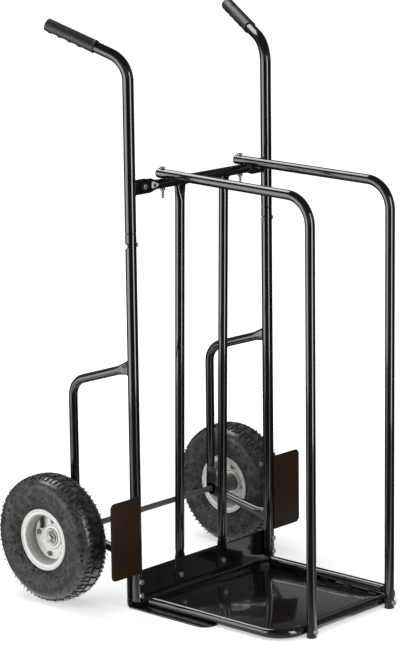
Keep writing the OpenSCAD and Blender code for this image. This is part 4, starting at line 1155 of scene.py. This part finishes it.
def pin_leg(side):
    """One leg of a split pin, from its spread tip up to the eye."""
    curl = [(side * (pin_gap + leg_curl * math.sin(a)), -0.0078 - leg_curl * (1 - math.cos(a)) * 0.9)
            for a in (1.05, 0.8, 0.55, 0.3, 0.12)]
    straight = [(side * pin_gap, z) for z in (-0.0066, 0, 0.0066)]
    return [Vector((pin_x, axle_y + y, axle_z + z)) for y, z in curl + straight]


eye_turns = [math.radians(-68 + 316 * i / 14) for i in range(1, 14)]
eye_path = [Vector((pin_x, axle_y + pin_eye * math.cos(turn), pin_top + pin_eye * (1 + math.sin(turn))))
            for turn in eye_turns]
pin, pin_line = start_wire(
    "right_split_pin", pin_leg(1) + eye_path + pin_leg(-1)[::-1], "NURBS", thick=0.00095, rounds=3)
pin_line.order_u = 3
pin_line.use_endpoint_u = True
pin_line.resolution_u = 4
pin = as_mesh(pin)
finish(together("axle_split_pins", twin(pin), pin),
       bright_zinc, "zinc_hardware", "frame", "cotter_pins", angle=60)

# Tyres. Moulded black rubber with a smooth side, small vent stubs on it, and a tread
# of shoulder and centre blocks that keep the thin whiskers of rubber from the mould.
wheel_x = 0.270
wheel_middle = Vector((wheel_x, axle_y, axle_z))
outboard = Vector((1, 0, 0))
wheel_radius = 0.130
bead_seat = 0.0508
tyre_rise = wheel_radius - bead_seat
widest = bead_seat + tyre_rise * 0.556
tread_depth = 0.003
crown = wheel_radius - tread_depth - widest
crown_power = 0.82
tyre_half = 0.0405
flank = tyre_rise * 0.48
bead_top = bead_seat + tyre_rise * 0.164
tread_steps = 3 * 72


def crown_point(off):
    """The smooth crown's radius at a distance from the tyre's middle plane."""
    turn = math.asin(min(1, (off / tyre_half) ** (1 / crown_power)))
    return (widest + crown * math.cos(turn) ** crown_power, off)


tread_lines = (0.0, 0.0042, 0.0086, 0.0128, 0.0158, 0.0205, 0.0252, 0.0298, 0.0330, 0.0354)
side_outline = [crown_point(off) for off in (*tread_lines, 0.0376, 0.0392, 0.0401)]
flank_end = math.asin((widest - bead_top) / flank)
for i in range(11):
    turn = flank_end * i / 10
    lip = 0.0008 if i >= 9 else 0
    side_outline.append((widest - flank * math.sin(turn), tyre_half * math.cos(turn) + lip))
side_outline += [(bead_top - 0.003, 0.0246), (bead_seat + 0.006, 0.0239), (bead_seat + 0.0022, 0.0237),
                 (bead_seat + 0.0004, 0.0225)]
inside_outline = [(bead_seat + 0.0004, 0.0170), (bead_top, 0.0180), (bead_top + 0.010, 0.0275),
                  (widest - 0.006, 0.0355), (widest + 0.010, 0.0345), (0.1200, 0.0200), (0.1232, 0)]
tyre_outline = [(r, -z) for r, z in reversed(side_outline[1:])] + side_outline
tyre_outline += inside_outline + [(r, -z) for r, z in reversed(inside_outline[:-1])]
tyre_outline.append(tyre_outline[0])
tyre = lathe("right_tyre_rubber", wheel_middle, outboard, tyre_outline, tread_steps)


def tread_block(middle):
    """Blocks of two steps with a gap of one, the centre row and the two sides staggered."""
    place = middle - wheel_middle
    off = abs(place.x)
    spread = math.hypot(place.y, place.z)
    if off > tread_lines[-1] or spread < 0.1215 or spread < crown_point(off)[0] - 0.0035:
        return False
    step = int((math.atan2(place.z, place.y) / (2 * math.pi) + 0.5) * tread_steps) % tread_steps
    if off < 0.0086:
        return (step + (1 if place.x > 0 else 0)) % 6 < 4
    if off < 0.0128 or 0.0205 < off < 0.0252 and step % 6 == 4:
        return False
    return (step + (2 if place.x > 0 else 0)) % 3 < 2


open_all(tyre)
bpy.ops.mesh.normals_make_consistent(inside=False)
select_where(tyre, "FACE", tread_block)
bpy.ops.mesh.inset(thickness=0.0004, depth=tread_depth, use_boundary=True)
bpy.ops.mesh.select_mode(type="VERT")
clear()


def rubber_ring(place, turn, sides, root_radius, tip_radius, long, count):
    """A ring of small rubber cones round the tyre, all in one piece."""
    clear()
    bpy.ops.mesh.primitive_cone_add(
        vertices=sides, radius1=root_radius, radius2=tip_radius, depth=long, location=place, rotation=turn)
    ring = bpy.context.object
    apply_place()
    open_all(ring)
    bpy.ops.mesh.spin(steps=count, angle=2 * math.pi, center=wheel_middle, axis=outboard, dupli=True)
    clear()
    return ring


trimmings = []
# Each row of whiskers: distance from the middle plane, lean, length and number round the tyre
whisker_rows = ((0.0328, 0.50, 0.0038, 72), (0.0334, 0.85, 0.0046, 18), (0.0184, 0.15, 0.0036, 36))
for side, (off, lean, long, count) in [(side, row) for side in (1, -1) for row in whisker_rows]:
    way = Vector((side * lean, 0, 1)).normalized()
    root = wheel_middle + Vector((side * off, 0, crown_point(off)[0] + tread_depth - 0.0014))
    trimmings.append(rubber_ring(
        root + way * long / 2, way.to_track_quat("Z", "Y").to_euler(), 6, 0.0010, 0.00042, long, count))
# Vent stubs on the sidewalls, in one ring on the crown's edge and one below the widest part
for side in (1, -1):
    for reach, count in ((0.1055, 24), (0.083, 12)):
        if reach > widest:
            off = tyre_half * (1 - ((reach - widest) / crown) ** (2 / crown_power)) ** (crown_power / 2)
        else:
            off = tyre_half * math.sqrt(1 - ((widest - reach) / flank) ** 2)
        spot = wheel_middle + Vector((side * (off + 0.0003), 0, reach))
        trimmings.append(rubber_ring(spot, (0, side * math.pi / 2, 0), 8, 0.0014, 0.0008, 0.0012, count))


def painted_gap_shade(leaf, reach, low, high):
    """Near 0 deep in a gap that is narrower than `reach` metres, and 1 out in the open: a mask for painted
    shade.
    """
    made = leaf.nodes.new("ShaderNodeAmbientOcclusion")
    made.samples = 8
    made.inputs["Distance"].default_value = reach
    return level(leaf, made.outputs["AO"], low, high)


def from_axle(leaf, place):
    """A spot's distance from the axle's middle line, and its height above the axle."""
    spot = x_y_z(leaf, place)
    back = maths(leaf, "SUBTRACT", spot["Y"], axle_y)
    up = maths(leaf, "SUBTRACT", spot["Z"], axle_z)
    squares = maths(leaf, "ADD", maths(leaf, "POWER", back, 2), maths(leaf, "POWER", up, 2))
    return maths(leaf, "SQRT", squares), up


tyre_rubber, leaf, shader, place = surface("tyre_rubber", 0.6)
tyre_cloud = noise(leaf, place, 48, 6, 0.72)
tyre_fine = noise(leaf, place, 480, 3)
tyre_grit = level(leaf, noise(leaf, place, 150, 3, 0.6), 0.44, 0.6)
pit_cells = leaf.nodes.new("ShaderNodeTexVoronoi")
pit_cells.inputs["Scale"].default_value = 60
leaf.links.new(place, pit_cells.inputs["Vector"])
shaded_pits = level(leaf, pit_cells.outputs["Distance"], 0.215, 0.19)
radius, up = from_axle(leaf, place)
on_tread = level(leaf, radius, 0.106, 0.118)
# A painted shadow ring on the sidewall next to the rim.
rim_shadow_ring = level(leaf, radius, 0.0655, 0.0615)
road_dust = maths(leaf, "MULTIPLY", level(leaf, noise(leaf, place, 75, 5, 0.65), 0.48, 0.7), on_tread)
dull = colours(leaf, level(leaf, tyre_cloud, 0.38, 0.62), (0.026, 0.0235, 0.024), (0.100, 0.090, 0.087))
dull = colours(leaf, maths(leaf, "MULTIPLY", tyre_grit, 0.8), dull, (0.012, 0.011, 0.012))
# Painted shade: the vent pits go near black.
dull = colours(leaf, shaded_pits, dull, (0.004, 0.004, 0.004))
dull = colours(leaf, maths(leaf, "MULTIPLY", road_dust, 0.35), dull, (0.12, 0.095, 0.07))
# Painted shade: near black deep in the tread gaps and the crevices.
dull = colours(leaf, painted_gap_shade(leaf, 0.006, 0.25, 0.75), (0.004, 0.004, 0.005), dull)
worn = level(leaf, radius, 0.106, 0.12, 0.0, -0.26)
rubber_skin = height(leaf, tyre_cloud, 0.0014, height(leaf, tyre_fine, 0.0001))
# Painted shadow: the sidewall turns near black next to the rim.
connect(leaf, shader, colours(leaf, rim_shadow_ring, dull, (0.008, 0.008, 0.009)),
        maths(leaf, "ADD", level(leaf, tyre_fine, 0.3, 0.7, 0.48, 0.66), worn),
        height(leaf, shaded_pits, -0.0012, rubber_skin))
shader.inputs["Coat Roughness"].default_value = 0.2
leaf.links.new(maths(leaf, "MULTIPLY", on_tread, 0.9), shader.inputs["Coat Weight"])

tyre = together("right_tyre_rubber", tyre, *trimmings)
finish_both(tyre, tyre_rubber, "tyre_rubber", "right_wheel", "right_tyre", angle=30)

tube_rubber, leaf, shader, place = surface("tube_rubber", 0.55)
leaf.links.new(
    colours(leaf, noise(leaf, place, 40, 3), (0.022, 0.022, 0.022), (0.036, 0.035, 0.034)),
    shader.inputs["Base Color"])
leaf.links.new(height(leaf, noise(leaf, place, 500, 2), 0.00005), shader.inputs["Normal"])


def refinish(material, *nodes):
    """Gives CAD nodes that stay as they are their real finish."""
    for name in nodes:
        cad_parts[name].data.materials.clear()
        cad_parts[name].data.materials.append(material)


refinish(tube_rubber, "left_inner_tube", "right_inner_tube")

# Rims. Two pressed steel halves per wheel, bolted back to back, with a rolled flange,
# a stepped barrel, a ring pressed round the hub hole, and bright white zinc plate.
rim_zinc, leaf, shader, place = surface("white_zinc_rim", 0.4, 0.25)
zinc_and_painted_shade = colours(leaf, noise(leaf, place, 30, 5, 0.6), (0.92, 0.91, 0.86), (0.97, 0.97, 0.945))
radius, up = from_axle(leaf, place)
# Painted light: the barrel is painted darker than the flange as painted shade in its recess, yellower towards
# its top as a painted warm reflection, with darker painted shade bands at its steps.
barrel = maths(leaf, "COMPARE", radius, 0.0478, 0.0032)
painted_barrel_shade = colours(leaf, level(leaf, up, -0.03, 0.03), (0.74, 0.77, 0.77), (0.70, 0.70, 0.58))
depth = maths(leaf, "SUBTRACT", maths(leaf, "ABSOLUTE", x_y_z(leaf, place)["X"]), wheel_x)
depth = maths(leaf, "ABSOLUTE", depth)
for middle, half, tint in ((0.0215, 0.0008, 0.3), (0.0145, 0.0024, 0.42), (0.0090, 0.0010, 0.5)):
    step_shade = maths(leaf, "COMPARE", depth, middle, half)
    painted_barrel_shade = colours(leaf, step_shade, painted_barrel_shade, (tint, tint, 0.85 * tint))
zinc_and_painted_shade = colours(leaf, barrel, zinc_and_painted_shade, painted_barrel_shade)
# Painted shade: thin dark rings at the hub gap, the collar's step, the disc's edge, the flange's inner edge,
# its groove and its rolled outer edge.
for middle, half, tint in (
        (0.0178, 0.0006, 0.2), (0.0252, 0.0005, 0.4), (0.0450, 0.0006, 0.3),
        (0.0514, 0.0006, 0.4), (0.0582, 0.0005, 0.6), (0.0628, 0.0008, 0.5)):
    line = maths(leaf, "COMPARE", radius, middle, half)
    zinc_and_painted_shade = colours(leaf, line, zinc_and_painted_shade, (tint, tint, 0.95 * tint))
connect(leaf, shader, zinc_and_painted_shade, level(leaf, noise(leaf, place, 210, 4), 0.3, 0.7, 0.24, 0.4),
        height(leaf, noise(leaf, place, 320, 3), 0.00002))

hub_hole = 0.01755
rim_outline = [
    (hub_hole, 0.0001), (0.0455, 0.0001), (0.0466, 0.0006), (0.0472, 0.0017), (0.0474, 0.0030),
    (0.0474, 0.0102), (0.0478, 0.0114), (0.0500, 0.0134), (0.0506, 0.0146), (0.0507, 0.0205),
    (0.0512, 0.0226), (0.0524, 0.0237), (0.0540, 0.0241), (0.0605, 0.0242), (0.0622, 0.0240),
    (0.0632, 0.0246), (0.06345, 0.0258), (0.0630, 0.0270), (0.0618, 0.0275), (0.0606, 0.0268),
    (0.0600, 0.0261), (0.0545, 0.0260), (0.0522, 0.0258), (0.0503, 0.0247), (0.0492, 0.0228),
    (0.0489, 0.0208), (0.0488, 0.0152), (0.0482, 0.0146), (0.0462, 0.0130), (0.0456, 0.0118),
    (0.0455, 0.0086), (0.0449, 0.0080), (0.0448, 0.0042), (0.0442, 0.0029), (0.0430, 0.0021),
    (0.0412, 0.0019), (0.0290, 0.0019), (0.0258, 0.0018), (0.0249, 0.0014), (0.0243, 0.0020),
    (0.0237, 0.0027), (0.0229, 0.0029), (0.0195, 0.0029), (0.0184, 0.0027), (hub_hole, 0.0024),
    (hub_hole, 0.0001)]
outer_rim = lathe("right_outer_pressing", wheel_middle, outboard, rim_outline, 96)
inner_rim = lathe("right_inner_pressing", wheel_middle, -outboard, rim_outline, 96)
finish_both(outer_rim, rim_zinc, "zinc_rim", "right_wheel", "right_outer_rim", angle=40)
finish_both(inner_rim, rim_zinc, "zinc_rim", "right_wheel", "right_inner_rim", angle=40)

# Hubs. A short steel tube runs through both rim halves, faced at its ends and bored
# for a ball bearing each side, and four small bolts hold the halves together.
hub_low, hub_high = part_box("right_hub")
hub_radius = 0.0175
hub_bore = 0.0140
bearing_seat = 0.01605
seat_depth = 0.01005
hub = lathe("right_hub_tube", (0, axle_y, axle_z), (1, 0, 0), [
    (bearing_seat, hub_low.x + 0.0006), (0.0164, hub_low.x), (0.0170, hub_low.x),
    (hub_radius, hub_low.x + 0.0005), (hub_radius, hub_high.x - 0.0006), (0.0170, hub_high.x),
    (0.0164, hub_high.x), (bearing_seat, hub_high.x - 0.0006), (bearing_seat, hub_high.x - seat_depth),
    (hub_bore, hub_high.x - seat_depth), (hub_bore, hub_low.x + seat_depth),
    (bearing_seat, hub_low.x + seat_depth), (bearing_seat, hub_low.x + 0.0006)], 64)
finish_both(hub, rim_zinc, "zinc_rim", "right_wheel", "right_hub")

bearing_steel, leaf, shader, place = surface("bearing_steel", 0.3, 0.9)
turned_lines = noise(leaf, place, 1300, 3)
connect(leaf, shader, colours(leaf, noise(leaf, place, 120, 3), (0.60, 0.60, 0.59), (0.74, 0.74, 0.72)),
        level(leaf, turned_lines, 0.3, 0.7, 0.22, 0.4), height(leaf, turned_lines, 0.00002))
refinish(bearing_steel, "left_bearings", "right_bearings")

dull_zinc = zinc_plate("dull_zinc", (0.16, 0.16, 0.165), (0.42, 0.41, 0.39))
rim_bolt_low, rim_bolt_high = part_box("right_rim_bolts")
rim_nut_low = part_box("right_rim_nuts")[0].x
rim_bolt_circle = 0.035


def round_the_rim(x):
    """The places and way of the four bolts that hold a rim's halves together."""
    spots = []
    for turn in (math.radians(9 + 90 * i) for i in range(4)):
        off_axle = Vector((0, math.sin(turn), -math.cos(turn))) * rim_bolt_circle
        spots.append((Vector((x, axle_y, axle_z)) + off_axle, (1, 0, 0)))
    return spots


rim_bolt_length = rim_bolt_high.x - rim_bolt_low.x - head_height
rim_bolts = fit_copies(hex_bolt(rim_bolt_length, 0.0062), "right_rim_hex_bolts",
                       round_the_rim(rim_bolt_low.x + head_height), 10)
rim_nuts = fit_copies(lock_nut(), "right_rim_lock_nuts", round_the_rim(rim_nut_low), 24)
finish_both(rim_bolts, dull_zinc, "zinc_hardware", "right_wheel", "right_rim_bolts")
finish_both(rim_nuts, dull_zinc, "zinc_hardware", "right_wheel", "right_rim_nuts")

# Valves. A black rubber stem comes through the barrel of each outer rim towards the
# hub, and a ribbed plastic cap is screwed on its end.
stem_low, stem_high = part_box("right_valve_stem")
valve_x = (stem_low.x + stem_high.x) / 2
valve_y = (stem_low.y + stem_high.y) / 2
cap_low, cap_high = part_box("right_valve_cap")
cap_top = (valve_x, valve_y, cap_high.z)
cap_long = cap_high.z - cap_low.z
stem_long = stem_high.z - cap_high.z
stem = lathe("right_rubber_stem", (valve_x, valve_y, stem_high.z), (0, 0, -1), [
    (0, 0.0002), (0.0038, 0.0002), (0.0041, 0.0006), (0.0041, stem_long - 0.0015),
    (0.0039, stem_long - 0.0004), (0.0034, stem_long), (0.0027, stem_long), (0.0027, stem_long + 0.005),
    (0, stem_long + 0.005)], 32)
valve_cap = lathe("right_screw_cap", cap_top, (0, 0, -1), [
    (0.0029, 0.0006), (0.0037, 0), (0.0039, 0.0005), (0.0039, 0.0012), (0.0039, 0.0055), (0.0039, 0.0068),
    (0.0036, 0.0080), (0.0028, cap_long), (0, cap_long)])


def cap_ribs(along, across, up):
    spread = math.hypot(across, up)
    if not 0.001 < along < 0.0065 or spread < 0.0035:
        return along, across, up
    share = 1 + 0.05 * math.cos(16 * math.atan2(up, across))
    return along, across * share, up * share


reshape(valve_cap, cap_top, (0, 0, -1), (1, 0, 0), cap_ribs)
finish_both(stem, tube_rubber, "tube_rubber", "right_wheel", "right_valve_stem")
finish_both(valve_cap, black_plastic, "black_plastic", "right_wheel", "right_valve_cap", angle=40)
